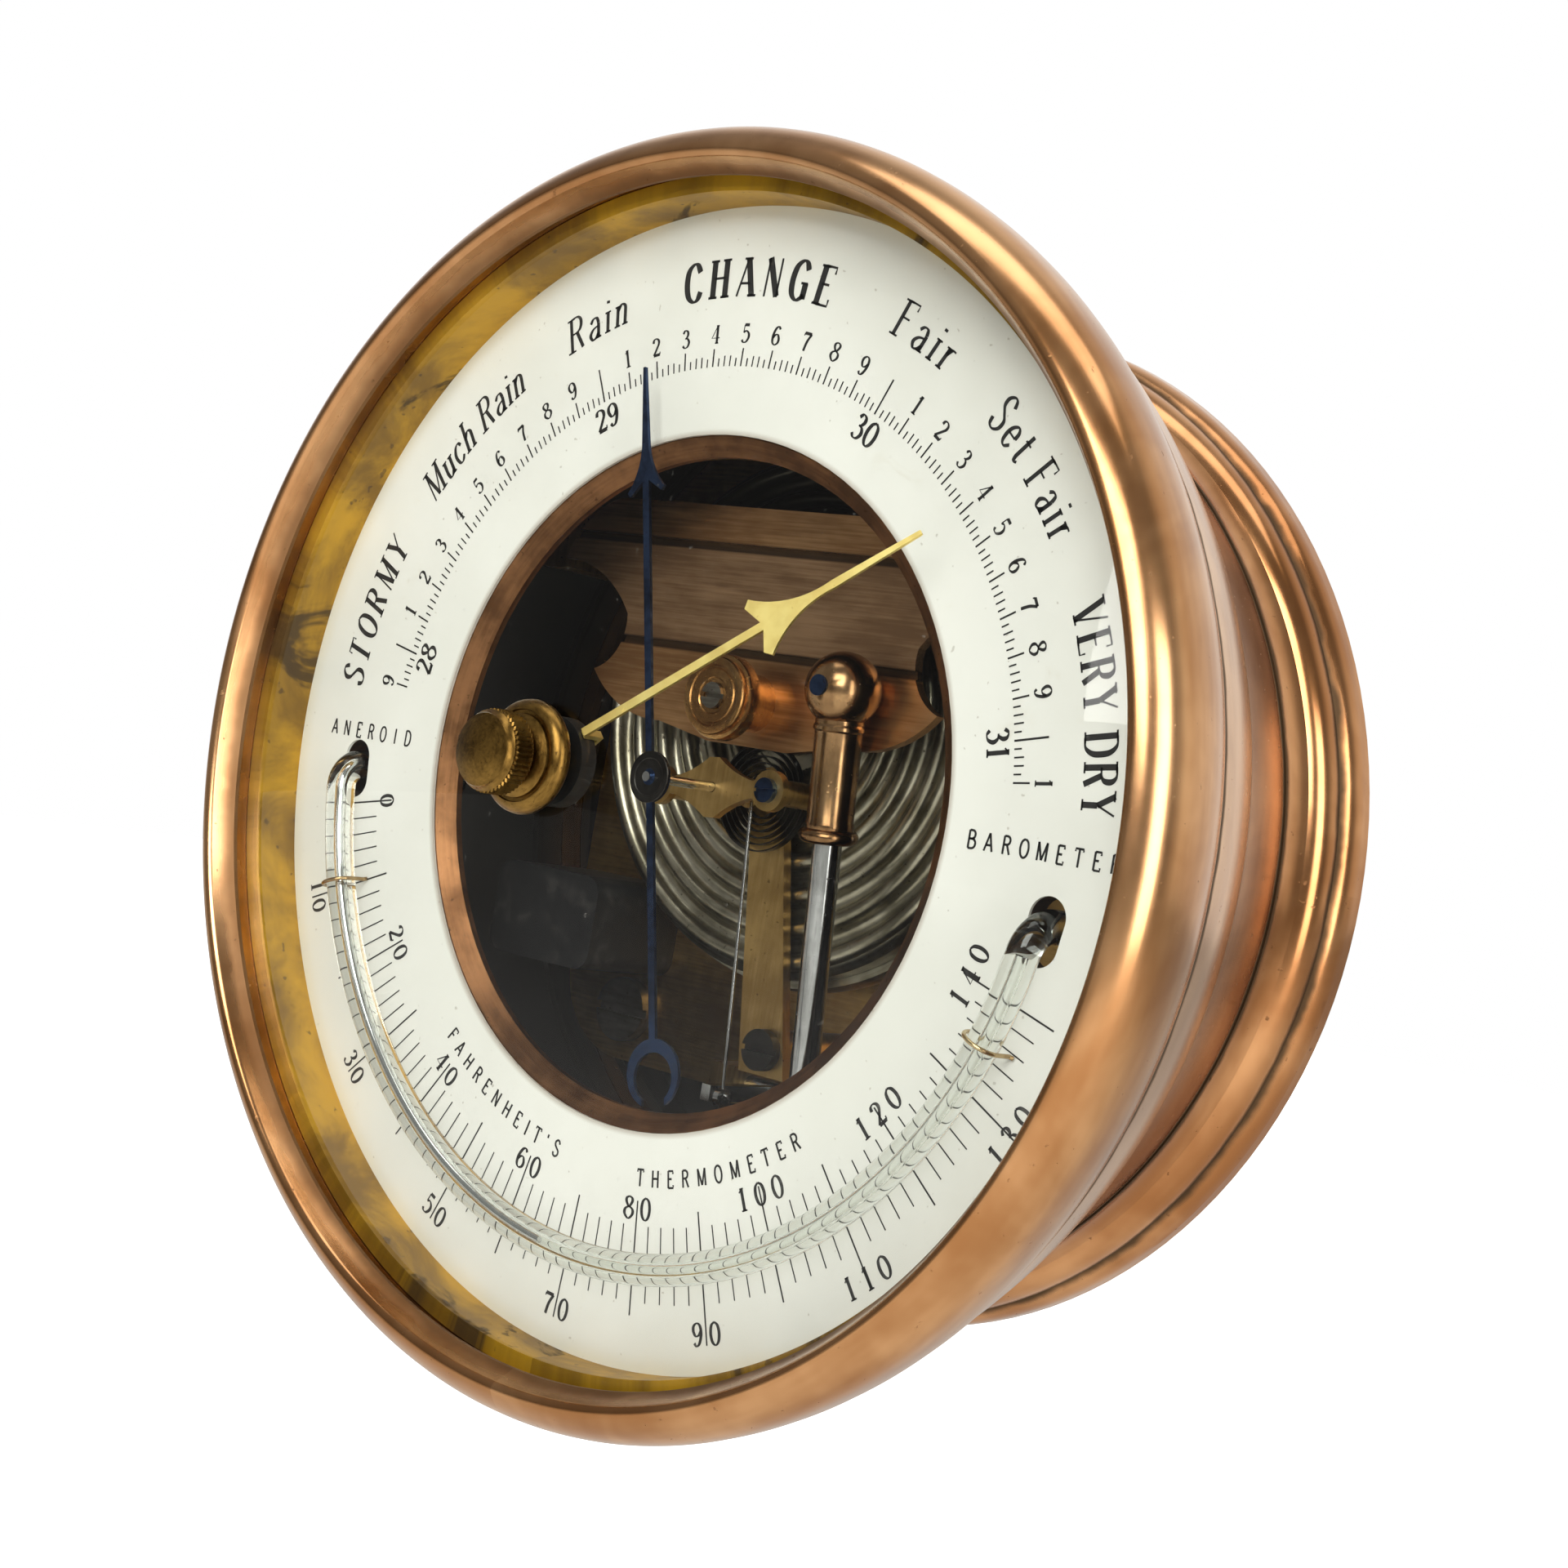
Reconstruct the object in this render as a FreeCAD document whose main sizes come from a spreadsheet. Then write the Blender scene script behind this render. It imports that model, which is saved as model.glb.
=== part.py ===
import FreeCAD, Part
import math
import os
import re

import Sketcher

# Ship's aneroid barometer with a curved thermometer, millimetres.
# Every sub-part is drawn on the bench: dial up, x to the right, y towards the top of the dial and
# z forward from the wall. MOUNTED turns that into the hung position: +Z up, the dial facing -Y.
# The origin is the centre of the back cover's flat face, which lies against the wall.

Vector = FreeCAD.Vector
MOUNTED = FreeCAD.Rotation(Vector(1, 0, 0), 90)

SIZES = {
    # case, from the wall forwards: "_r" is a radius, a plain name is a distance from the wall
    "rim_r": 66.4,
    "rim_edge": 1.6,
    "rim_bead_r": 3.4,
    "cover_wall": 1.6,
    "cover_top": 4.6,
    "cover_seam_r": 64.8,
    "spigot_r": 57.4,
    "spigot_top": 6.5,
    "foot_base": 4.7,
    "foot_top": 12.0,
    "foot_seam_r": 65.0,
    "foot_waist": 8.4,
    "foot_waist_r": 63.0,
    "foot_flange_top": 8.0,
    "foot_ovolo_r": 3.6,
    "foot_cove_r": 6.0,
    "drum_rear": 12.1,
    "drum_rear_r": 61.9,
    "drum_spigot_r": 60.9,
    "drum_waist": 32.0,
    "drum_waist_r": 66.2,
    "drum_cup": 44.5,
    "drum_cup_r": 71.1,
    "drum_top": 49.9,
    "drum_wall": 1.1,
    "ledge": 46.6,
    "ledge_r": 66.6,
    "moulding_base": 30.8,
    "moulding_base_r": 68.5,
    "moulding_bore_r": 66.9,
    "moulding_top": 46.1,
    "moulding_top_r": 74.3,
    "moulding_bow_r": 60.0,
    "bezel_base": 46.3,
    "bezel_base_r": 74.4,
    "bezel_widest": 56.4,
    "bezel_r": 77.0,
    "bezel_flank_r": 20.9,
    "bezel_nose_r": 6.1,
    "bezel_crest_r": 1.1,
    "bezel_slope_r": 9.0,
    "crest": 62.0,
    "crest_r": 73.3,
    "lip": 58.95,
    "lip_r": 70.9,
    "lip_under": 58.4,
    "bezel_bore_r": 72.0,
    "liner_r": 69.8,
    "liner_outer_r": 71.9,
    "liner_top": 56.0,
    "glass_edge_r": 71.8,
    "glass_apex": 71.7,
    "glass_dome_r": 195.0,
    "glass_wall": 1.8,
    "glass_hole_r": 2.7,
    # fixings of the back cover, and the holes that reach through it
    "cover_screw_r": 1.25,
    "cover_screw_head_r": 2.3,
    "cover_screw_head": 1.2,
    "cover_screw_circle_r": 61.0,
    "cover_screw_end": 7.6,
    "wall_hole_r": 2.1,
    "wall_hole_depth": 5.6,
    "wall_boss_r": 4.6,
    "wall_boss_top": 6.6,
    "wall_circle_r": 48.0,
    "tool_hole_r": 4.2,
    "running_gap": 0.05,
    # dial
    "dial_r": 70.2,
    "dial_face": 49.1,
    "dial_hole_r": 39.6,
    "dial_bevel_r": 41.8,
    "dial_bevel": 1.6,
    "card_r": 70.0,
    "card_face": 49.5,
    "card_hole_r": 42.0,
    # thermometer
    "tube_r": 1.9,
    "tube_bore_r": 0.5,
    "tube_circle_r": 57.7,
    "tube_axis": 51.8,
    "tube_start_deg": 261.5,
    "tube_end_deg": 101.7,
    "tube_bend_r": 3.5,
    "tube_leg_base": 42.5,
    "tube_hole_r": 2.4,
    "tube_hole_half": 1.6,
    "tube_hole_start_deg": 264.3,
    "tube_hole_end_deg": 98.9,
    "mercury_r": 0.45,
    "mercury_end_deg": 185.7,
    "bulb_r": 3.0,
    "bulb_wall": 0.5,
    "bulb_base": 31.0,
    "clip_wire_r": 0.35,
    "clip_low_deg": 248.8,
    "clip_high_deg": 112.0,
    # base plate of the movement
    "plate_base": 12.0,
    "plate_top": 14.6,
    "plate_half_width": 46.0,
    "plate_low": -39.5,
    "plate_high": 57.0,
    "plate_high_half": 12.0,
    "plate_slope": 50.0,
    "plate_slope_x": 30.0,
    "plate_shoulder": 34.0,
    "plate_corner_r": 12.0,
    "base_screw_r": 1.9,
    "base_screw_head_r": 4.4,
    "base_screw_head": 1.8,
    "base_screw_end": 4.0,
    "pillar_r": 5.0,
    "low_screw_x": 33.4,
    "low_screw_up": -32.5,
    "high_screw_up": 50.2,
    "block_left": -46.0,
    "block_right": -26.8,
    "block_low": -27.0,
    "block_high": -14.5,
    "block_top": 31.0,
    "block_corner_r": 2.5,
    # vacuum capsule
    "capsule_up": 11.0,
    "capsule_r": 33.6,
    "band_r": 34.6,
    "band_half": 2.0,
    "capsule_base": 17.0,
    "capsule_joint": 22.6,
    "capsule_top": 28.4,
    "capsule_skin": 0.8,
    "capsule_foot_r": 6.0,
    "wave_inner_r": 7.4,
    "wave_pitch": 4.2,
    "wave_deep": 0.8,
    "neck_r": 5.5,
    "neck_bore_r": 3.0,
    "neck_top": 30.4,
    "coil_r": 9.0,
    "coil_wire_r": 0.8,
    "coil_base": 18.7,
    "coil_pitch": 2.8,
    "coil_length": 6.2,
    # lever, its axle and its long rod
    "lever_base": 35.6,
    "lever_top": 37.0,
    "lever_crest_x": 28.6,
    "lever_crest_up": 35.2,
    "lever_shoulder_r": 12.0,
    "lever_horn_x": 37.2,
    "lever_horn_up": 26.6,
    "lever_notch_x": 24.2,
    "lever_notch_up": 20.2,
    "lever_hip_x": 28.6,
    "lever_hip_up": 12.6,
    "lever_toe_x": 15.6,
    "lever_toe_up": 7.2,
    "lever_waist_x": 6.6,
    "lever_low": 5.6,
    "groove_high": 30.0,
    "groove_low": 17.0,
    "groove_half": 0.5,
    "groove_depth": 0.5,
    "axle_up": 30.0,
    "axle_forward": 32.6,
    "axle_r": 1.6,
    "axle_half": 37.2,
    "lug_inner": 28.0,
    "lug_width": 5.0,
    "lug_half": 2.9,
    "trunnion_inner": 37.5,
    "trunnion_width": 6.0,
    "trunnion_half": 4.5,
    "trunnion_top": 35.0,
    "pivot_r": 0.7,
    "pivot_length": 1.4,
    "pivot_screw_r": 1.5,
    "pivot_screw_end": 45.5,
    "post_r": 2.2,
    "post_base": 29.0,
    "boss_r": 5.3,
    "boss_neck_r": 3.6,
    "boss_rim": 3.0,
    "boss_step": 0.5,
    "boss_top": 44.6,
    "boss_screw_r": 1.6,
    "ball_x": 17.6,
    "ball_up": 13.9,
    "ball_forward": 41.6,
    "ball_r": 4.6,
    "stud_r": 1.25,
    "stud_top": 46.2,
    "socket_r": 2.9,
    "socket_length": 18.2,
    "socket_ring_r": 2.7,
    "socket_ring_half": 0.9,
    "rod_r": 1.75,
    "rod_start": 9.0,
    "rod_length": 55.0,
    "rod_lean_deg": 6.0,
    # rocker, and the links that join it to the rod and to the arbor
    "rocker_up": -37.0,
    "rocker_forward": 22.5,
    "rocker_shaft_r": 1.4,
    "rocker_left": -2.4,
    "rocker_right": 22.4,
    "rocker_arm_half": 0.7,
    "rocker_post_width": 4.0,
    "rocker_post_low": -39.4,
    "rocker_post_high": -34.6,
    "rocker_post_top": 26.0,
    "drive_arm_x": 18.6,
    "drive_pin_r": 0.6,
    "drive_pin_end": 21.4,
    "link_x": 20.35,
    "link_half": 0.6,
    "link_eye_bore_r": 1.0,
    "drive_arm": 12.3,
    "link_eye_r": 1.7,
    # arbor that carries the indicating hand
    "arbor_r": 0.8,
    "arbor_pivot_r": 0.5,
    "arbor_front_r": 0.6,
    "arbor_base": 29.7,
    "arbor_top": 53.7,
    "collet_r": 1.6,
    "chain_drum_r": 1.23,
    "chain_drum_forward": 36.0,
    "wire_r": 0.22,
    "wire_lean_deg": 5.3,
    "wire_length": 36.4,
    "wire_eye_r": 1.3,
    "wire_eye_bore_r": 0.85,
    "wire_pin_r": 0.4,
    "bridge_base": 29.6,
    "bridge_top": 31.0,
    "bridge_eye_r": 3.0,
    "bridge_foot_left": 2.4,
    "bridge_foot_right": 9.8,
    "bridge_foot_low": -34.2,
    "bridge_screw_x": 6.1,
    "bridge_screw_up": -31.0,
    "bridge_post_r": 2.6,
    "cock_base": 40.8,
    "cock_top": 42.0,
    "cock_reach": 9.1,
    "cock_turn_deg": 4.7,
    "cock_eye_r": 2.5,
    "cock_neck_x": 6.3,
    "cock_neck_half": 1.1,
    "cock_middle_half": 3.7,
    "cock_middle_x": 0.8,
    "cock_curve_r": 14.0,
    "cock_pillar_r": 1.6,
    "cock_screw_r": 0.9,
    "cock_screw_head_r": 1.5,
    "cock_screw_head": 0.8,
    "cock_screw_depth": 5.0,
    "post_screw_head": 1.4,
    "hairspring_r": 7.2,
    "hairspring_inner_r": 2.2,
    "hairspring_base": 31.9,
    "hairspring_top": 32.9,
    "hairspring_turns": 6.0,
    "hairspring_half": 0.09,
    # hands and knob
    "hand_base": 52.7,
    "hand_top": 53.15,
    "hand_tip": 50.6,
    "hand_tail": 39.2,
    "hand_half": 0.5,
    "hand_tip_half": 0.18,
    "hand_crotch": 36.3,
    "hand_barb": 34.7,
    "hand_barb_half": 3.0,
    "hand_barb_end": 0.5,
    "hand_neck": 41.4,
    "hand_curve_r": 9.0,
    "hand_hub_r": 3.1,
    "crescent_r": 4.1,
    "crescent_bore_r": 3.0,
    "crescent_gap": 1.8,
    "hand_rest_deg": -14.2,
    "set_hand_rest_deg": 49.0,
    "set_hand_root": 66.5,
    "set_hand_crank": 5.6,
    "set_hand_crank_half": 0.3,
    "set_hand_crank_forward": 69.1,
    "set_hand_tip_forward": 54.0,
    "set_hand_tip": 50.2,
    "set_hand_half": 0.5,
    "set_hand_tip_half": 0.25,
    "set_hand_crotch": 29.6,
    "set_hand_barb": 28.6,
    "set_hand_barb_half": 3.8,
    "set_hand_barb_end": 0.8,
    "set_hand_neck": 39.0,
    "set_hand_curve_r": 12.0,
    "set_hand_thick": 0.45,
    "set_hub_r": 3.9,
    "spindle_r": 1.9,
    "spindle_base": 65.6,
    "spindle_bush_r": 2.6,
    "nut_r": 5.2,
    "nut_base": 67.0,
    "nut_top": 69.7,
    "collar_r": 6.6,
    "collar_base": 72.3,
    "collar_top": 75.4,
    "knob_neck_r": 2.9,
    "knob_base": 76.4,
    "knob_r": 4.8,
    "knob_front": 81.0,
    # adjusting screw at the back
    "adjuster_up": -19.0,
    "adjuster_r": 2.4,
    "adjuster_base": 7.4,
    "adjuster_top": 15.8,
    # allowances shared by many parts
    "fit": 0.1,
    "weld": 0.01,
    "overrun": 1.0,
    "half_turn": 1.001,
    "edge": 0.4,
    "slot_half": 0.3,
    "slot_depth": 0.5,
    "slot_long": 2.0,
    "slot_reach": 1.2,
    "slot_share": 0.13,
    "slot_deep": 0.45,
    # small steps of single parts
    "cover_screw_reach": 3.0,
    "drum_inset": 1.7,
    "drum_ease": 0.3,
    "drum_step": 0.8,
    "moulding_root": 2.8,
    "crest_drop": 0.65,
    "bulb_lap": 0.5,
    "base_screw_play": 0.5,
    "lid_drop": 0.2,
    "capsule_lip": 1.2,
    "capsule_inner_lip": 1.8,
    "capsule_lip_r": 2.0,
    "boss_screw_deep": 2.5,
    "drive_arm_end": 1.4,
    "rocker_arm_deep": 1.1,
    "rocker_tip_half": 1.0,
    "rocker_tip_reach": 1.2,
    "link_bar_half": 0.8,
    "wire_eye_half": 0.4,
    "drum_flange": 0.6,
    "drum_half": 1.6,
    "drum_groove_half": 0.9,
    "collet_step": 0.3,
    "knob_bore": 1.5,
    "knob_crown": 1.4,
    "knob_crown_r": 14.0,
    "adjuster_head_r": 3.4,
    "adjuster_head": 1.4,
}

doc = FreeCAD.newDocument("ShipBarometer")
sheet = doc.addObject("Spreadsheet::Sheet", "Sizes")
for row, (alias, number) in enumerate(SIZES.items(), start=1):
    sheet.set(f"A{row}", alias)
    sheet.set(f"B{row}", str(number))
    sheet.setAlias(f"B{row}", alias)
doc.recompute()

nodes = []


# ---------------------------------------------------------------- helpers


def bound(text):
    """The expression with each size's name pointed at its cell in the sheet."""
    return re.sub(r"[a-z][a-z0-9_]*", lambda word: ("Sizes." if word[0] in SIZES else "") + word[0],
                  str(text))


def size(text):
    """The present value of an expression of sizes, in millimetres or degrees."""
    result = sheet.evalExpression(bound(text))
    return float(getattr(result, "Value", result))


def hang(item, x="0", up="0", forward="0", turn=None):
    """Places an item in the hung position, its own origin at x, up and forward of the wall."""
    item.Placement = FreeCAD.Placement(Vector(0, 0, 0), MOUNTED.multiply(turn) if turn else MOUNTED)
    item.setExpression("Placement.Base.x", bound(x))
    item.setExpression("Placement.Base.y", bound(f"-({forward})"))
    item.setExpression("Placement.Base.z", bound(up))
    return item


def node(label, item, x="0", up="0", forward="0", turn=None):
    """Hangs the item and makes it a sub-part of its own, written to parts/label.step."""
    item.Label = label
    nodes.append(hang(item, x, up, forward, turn))
    return item


def shift(item, x, y, z):
    """Binds an item's position on the bench."""
    for axis, text in zip("xyz", (x, y, z)):
        item.setExpression(f"Placement.Base.{axis}", bound(text))
    return item


def peg(radius, base, top, x="0", y="0"):
    """A cylinder along the forward axis."""
    item = doc.addObject("Part::Cylinder", "Peg")
    item.setExpression("Radius", bound(radius))
    item.setExpression("Height", bound(f"({top}) - ({base})"))
    return shift(item, x, y, base)


def cone(base_radius, top_radius, base, top, x="0", y="0"):
    item = doc.addObject("Part::Cone", "Cone")
    item.setExpression("Radius1", bound(base_radius))
    item.setExpression("Radius2", bound(top_radius))
    item.setExpression("Height", bound(f"({top}) - ({base})"))
    return shift(item, x, y, base)


def cross_peg(radius, left, right, y, z):
    """A cylinder across the dial, along x."""
    item = doc.addObject("Part::Cylinder", "CrossPeg")
    item.Placement = FreeCAD.Placement(Vector(0, 0, 0), FreeCAD.Rotation(Vector(0, 1, 0), 90))
    item.setExpression("Radius", bound(radius))
    item.setExpression("Height", bound(f"({right}) - ({left})"))
    return shift(item, left, y, z)


def slab(left, right, low, high, base, top):
    item = doc.addObject("Part::Box", "Slab")
    item.setExpression("Length", bound(f"({right}) - ({left})"))
    item.setExpression("Width", bound(f"({high}) - ({low})"))
    item.setExpression("Height", bound(f"({top}) - ({base})"))
    return shift(item, left, low, base)


def joined(*pieces):
    item = doc.addObject("Part::MultiFuse", "Joined")
    item.Shapes = list(pieces)
    return item


def cut(base, *tools):
    item = doc.addObject("Part::Cut", "Cut")
    item.Base = base
    item.Tool = tools[0] if len(tools) == 1 else joined(*tools)
    return item


def group(pieces):
    """Several loose solids that share one node."""
    item = doc.addObject("Part::Compound", "Group")
    item.Links = list(pieces)
    return item


def feature(shape):
    item = doc.addObject("Part::Feature", "Shaped")
    item.Shape = shape
    return item


def arc_middle(start, end, radius):
    """The middle of the short arc between two points; a positive radius bows to the left of travel."""
    chord = end.sub(start)
    half = chord.Length / 2
    sag = abs(radius) - math.sqrt(max(radius * radius - half * half, 0))
    left = Vector(-chord.y, chord.x, 0).normalize()
    return start.add(end).multiply(0.5).add(left.multiply(math.copysign(sag, radius)))


def bind(sketch, constraint, text):
    number = sketch.addConstraint(constraint)
    name = f"size_{number}"
    sketch.renameConstraint(number, name)
    sketch.setExpression(f"Constraints.{name}", bound(text))


def draw(sketch, corners):
    """A closed outline. A corner is (x, y), or (x, y, radius) where the edge that reaches it is an arc."""
    points = [Vector(size(corner[0]), size(corner[1]), 0) for corner in corners]
    first = sketch.GeometryCount
    ends = []
    for number, corner in enumerate(corners):
        start, end = points[number - 1], points[number]
        if len(corner) == 2:
            edge = sketch.addGeometry(Part.LineSegment(start, end))
            ends.append((1, 2))
        else:
            edge = sketch.addGeometry(Part.Arc(start, arc_middle(start, end, size(corner[2])), end))
            reach = [sketch.getPoint(edge, end_number).distanceToPoint(start) for end_number in (1, 2)]
            ends.append((1, 2) if reach[0] < reach[1] else (2, 1))
    for number, corner in enumerate(corners):
        edge, previous = first + number, first + (number - 1) % len(corners)
        begin, finish = ends[number]
        sketch.addConstraint(Sketcher.Constraint("Coincident", previous, ends[number - 1][1], edge, begin))
        bind(sketch, Sketcher.Constraint("DistanceX", -1, 1, edge, finish, points[number].x), corner[0])
        bind(sketch, Sketcher.Constraint("DistanceY", -1, 1, edge, finish, points[number].y), corner[1])
        if len(corner) == 3:
            bind(sketch, Sketcher.Constraint("Radius", edge, abs(size(corner[2]))), f"abs({corner[2]})")


def draw_circle(sketch, x, y, radius):
    edge = sketch.addGeometry(Part.Circle(Vector(size(x), size(y), 0), Vector(0, 0, 1), size(radius)))
    bind(sketch, Sketcher.Constraint("DistanceX", -1, 1, edge, 3, size(x)), x)
    bind(sketch, Sketcher.Constraint("DistanceY", -1, 1, edge, 3, size(y)), y)
    bind(sketch, Sketcher.Constraint("Radius", edge, size(radius)), radius)


def new_sketch(body, role):
    sketch = body.newObject("Sketcher::SketchObject", "Outline")
    plane = next(f for f in body.Origin.OriginFeatures if f.Role == role)
    sketch.AttachmentSupport = [(plane, "")]
    sketch.MapMode = "FlatFace"
    return sketch


def turned(corners):
    """A body turned about the forward axis. Its corners are (radius, distance from the wall)."""
    body = doc.addObject("PartDesign::Body", "Turned")
    sketch = new_sketch(body, "XZ_Plane")
    draw(sketch, corners)
    revolution = body.newObject("PartDesign::Revolution", "Revolution")
    revolution.Profile = sketch
    revolution.ReferenceAxis = (sketch, ["V_Axis"])
    revolution.Angle = 360
    return body


def plate(corners, base, top, holes=()):
    """A flat body between two distances from the wall, with round holes given as (x, y, radius)."""
    body = doc.addObject("PartDesign::Body", "Plate")
    sketch = new_sketch(body, "XY_Plane")
    sketch.AttachmentOffset = FreeCAD.Placement(Vector(0, 0, size(base)), FreeCAD.Rotation())
    sketch.setExpression("AttachmentOffset.Base.z", bound(base))
    draw(sketch, corners)
    for hole in holes:
        draw_circle(sketch, *hole)
    pad = body.newObject("PartDesign::Pad", "Pad")
    pad.Profile = sketch
    pad.Length = size(f"({top}) - ({base})")
    pad.setExpression("Length", bound(f"({top}) - ({base})"))
    return body


def on_circle(radius, degrees):
    """Expressions for a point on a circle, its angle clockwise from the top of the dial."""
    return f"({radius}) * sin({degrees} * 1deg)", f"({radius}) * cos({degrees} * 1deg)"


def slotted_screw(x, y, shank, end, head, base, top):
    """A screw whose head shows from the front, with a straight slot across it."""
    body = joined(peg(shank, end, f"{base} + weld", x, y), peg(head, base, top, x, y))
    reach, half = f"({head}) * slot_reach", f"({head}) * slot_share"
    slot = slab(f"{x} - {reach}", f"{x} + {reach}", f"{y} - {half}", f"{y} + {half}",
                f"({top}) - slot_deep * (({top}) - ({base}))", f"({top}) + overrun")
    return cut(body, slot)


# ---------------------------------------------------------------- case

SCREW_ANGLES = (45, 135, 225, 315)
WALL_ANGLES = (60, 180, 300)
BASE_SPOTS = (("-low_screw_x", "low_screw_up"), ("low_screw_x", "low_screw_up"), ("0", "high_screw_up"))


def back_cover():
    """The back cover: a turned pan with three blind tapped bosses for the wall screws."""
    pan = turned([
        ("0", "0"), ("rim_r", "0"), ("rim_r", "rim_edge"), ("cover_seam_r", "cover_top", "-rim_bead_r"),
        ("spigot_r", "cover_top"), ("spigot_r", "spigot_top"), ("spigot_r - cover_wall", "spigot_top"),
        ("spigot_r - cover_wall", "cover_wall"), ("0", "cover_wall"),
    ])
    bosses = []
    tools = [peg("tool_hole_r", "-1", "cover_wall + overrun", "0", "adjuster_up")]
    for angle in SCREW_ANGLES:
        x, y = on_circle("cover_screw_circle_r", angle)
        tools.append(peg("cover_screw_r + running_gap", "-1", "cover_top + overrun", x, y))
        tools.append(cone("cover_screw_head_r + running_gap", "cover_screw_r + running_gap",
                          "-weld", "cover_screw_head", x, y))
    for angle in WALL_ANGLES:
        x, y = on_circle("wall_circle_r", angle)
        bosses.append(peg("wall_boss_r", "cover_wall - fit", "wall_boss_top", x, y))
        tools.append(peg("wall_hole_r", "-1", "wall_hole_depth", x, y))
    node("back_cover", cut(joined(pan, *bosses), *tools))


def cover_screws():
    """Countersunk screws that hold the back cover to the foot ring."""
    screws = []
    for angle in SCREW_ANGLES:
        x, y = on_circle("cover_screw_circle_r", angle)
        head = cone("cover_screw_head_r", "cover_screw_r", "0", "cover_screw_head", x, y)
        shank = peg("cover_screw_r", "cover_screw_head - weld", "cover_screw_end", x, y)
        slot = slab(f"{x} - cover_screw_reach", f"{x} + cover_screw_reach", f"{y} - slot_half",
                    f"{y} + slot_half", "-overrun", "slot_depth")
        screws.append(cut(joined(head, shank), slot))
    node("cover_screws", group(screws))


def foot_ring():
    """The ogee ring behind the drum."""
    ring = turned([
        ("spigot_r + fit", "foot_base"), ("foot_seam_r", "foot_base"),
        ("foot_waist_r", "foot_waist", "-foot_ovolo_r"), ("drum_rear_r + 2 * fit", "foot_top",
        "foot_cove_r"),
        ("drum_spigot_r + running_gap", "foot_top"), ("drum_spigot_r + running_gap", "foot_flange_top"),
        ("spigot_r + fit", "foot_flange_top"),
    ])
    holes = []
    for angle in SCREW_ANGLES:
        x, y = on_circle("cover_screw_circle_r", angle)
        holes.append(peg("cover_screw_r + running_gap", "foot_base - overrun", "cover_screw_end + fit", x,
                         y))
    node("foot_ring", cut(ring, *holes))


def case_drum():
    """The spun drum: tapered outside, with a cup in front whose ledge carries the dial."""
    node("case_drum", turned([
        ("drum_spigot_r - drum_wall", "foot_flange_top + fit"), ("drum_spigot_r", "foot_flange_top + fit"),
        ("drum_spigot_r", "drum_rear"), ("drum_rear_r", "drum_rear"), ("drum_waist_r", "drum_waist"),
        ("drum_cup_r", "drum_cup"), ("drum_cup_r", "drum_top"), ("dial_r + fit", "drum_top"),
        ("dial_r + fit", "ledge"), ("ledge_r", "ledge"), ("ledge_r", "ledge - drum_wall"),
        ("drum_cup_r - drum_inset", "drum_cup - drum_ease"), ("drum_waist_r - drum_wall",
        "drum_waist + drum_ease"),
        ("drum_rear_r - drum_wall", "drum_rear + drum_step"),
        ("drum_spigot_r - drum_wall", "drum_rear + drum_step"),
    ]))


def case_moulding():
    """The front moulding of the case, over the drum's flare and behind the bezel."""
    node("case_moulding", turned([
        ("moulding_bore_r", "moulding_base"), ("moulding_base_r", "moulding_base"),
        ("moulding_top_r", "moulding_top", "-moulding_bow_r"), ("drum_cup_r + fit", "moulding_top"),
        ("drum_cup_r + fit", "drum_cup"), ("moulding_bore_r", "moulding_base + moulding_root"),
    ]))


def bezel():
    """The bezel: a full round nose outside, and a hollow slope down to the glass inside."""
    node("bezel", turned([
        ("bezel_bore_r", "bezel_base"), ("bezel_base_r", "bezel_base"),
        ("bezel_r", "bezel_widest", "-bezel_flank_r"), ("crest_r", "crest", "-bezel_nose_r"),
        ("crest_r - bezel_crest_r", "crest - crest_drop", "-bezel_crest_r"),
        ("lip_r", "lip", "bezel_slope_r"),
        ("lip_r", "lip_under"), ("bezel_bore_r", "lip_under"),
    ]))


def liner_ring():
    """The ring between the dial and the glass, which shows as the case's inner wall."""
    node("liner_ring", turned([
        ("liner_r", "card_face"), ("dial_r", "card_face"), ("dial_r", "drum_top + fit / 2"),
        ("liner_outer_r", "drum_top + fit / 2"), ("liner_outer_r", "liner_top"), ("liner_r", "liner_top"),
    ]))


def glass():
    """The domed glass, drilled at its centre for the set hand's spindle."""
    inner = "(glass_dome_r - glass_wall)"
    centre = "glass_apex - glass_dome_r"
    outer_at = f"{centre} + sqrt(glass_dome_r ^ 2 - %s ^ 2)"
    inner_at = f"{centre} + sqrt({inner} ^ 2 - %s ^ 2)"
    node("glass", turned([
        ("glass_hole_r", outer_at % "glass_hole_r"), ("glass_edge_r", outer_at % "glass_edge_r",
        "glass_dome_r"),
        ("glass_edge_r", inner_at % "glass_edge_r"), ("glass_hole_r", inner_at % "glass_hole_r",
        f"-{inner}"),
    ]))


# ---------------------------------------------------------------- dial and thermometer


def tube_slots():
    """Two oval holes through the dial, where the thermometer's ends turn down behind it."""
    slots = []
    for angle in ("tube_hole_start_deg", "tube_hole_end_deg"):
        tool = plate([
            ("-tube_hole_half", "-tube_hole_r"), ("tube_hole_half", "-tube_hole_r"),
            ("tube_hole_half", "tube_hole_r", "-half_turn * tube_hole_r"),
            ("-tube_hole_half", "tube_hole_r"),
            ("-tube_hole_half", "-tube_hole_r", "-half_turn * tube_hole_r"),
        ][1:], "ledge - overrun", "card_face + overrun")
        tool.Placement = FreeCAD.Placement(Vector(0, 0, 0), FreeCAD.Rotation(Vector(0, 0, 1), -size(angle)))
        x, y = on_circle("tube_circle_r", angle)
        slots.append(shift(tool, x, y, "0"))
    return slots


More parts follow.
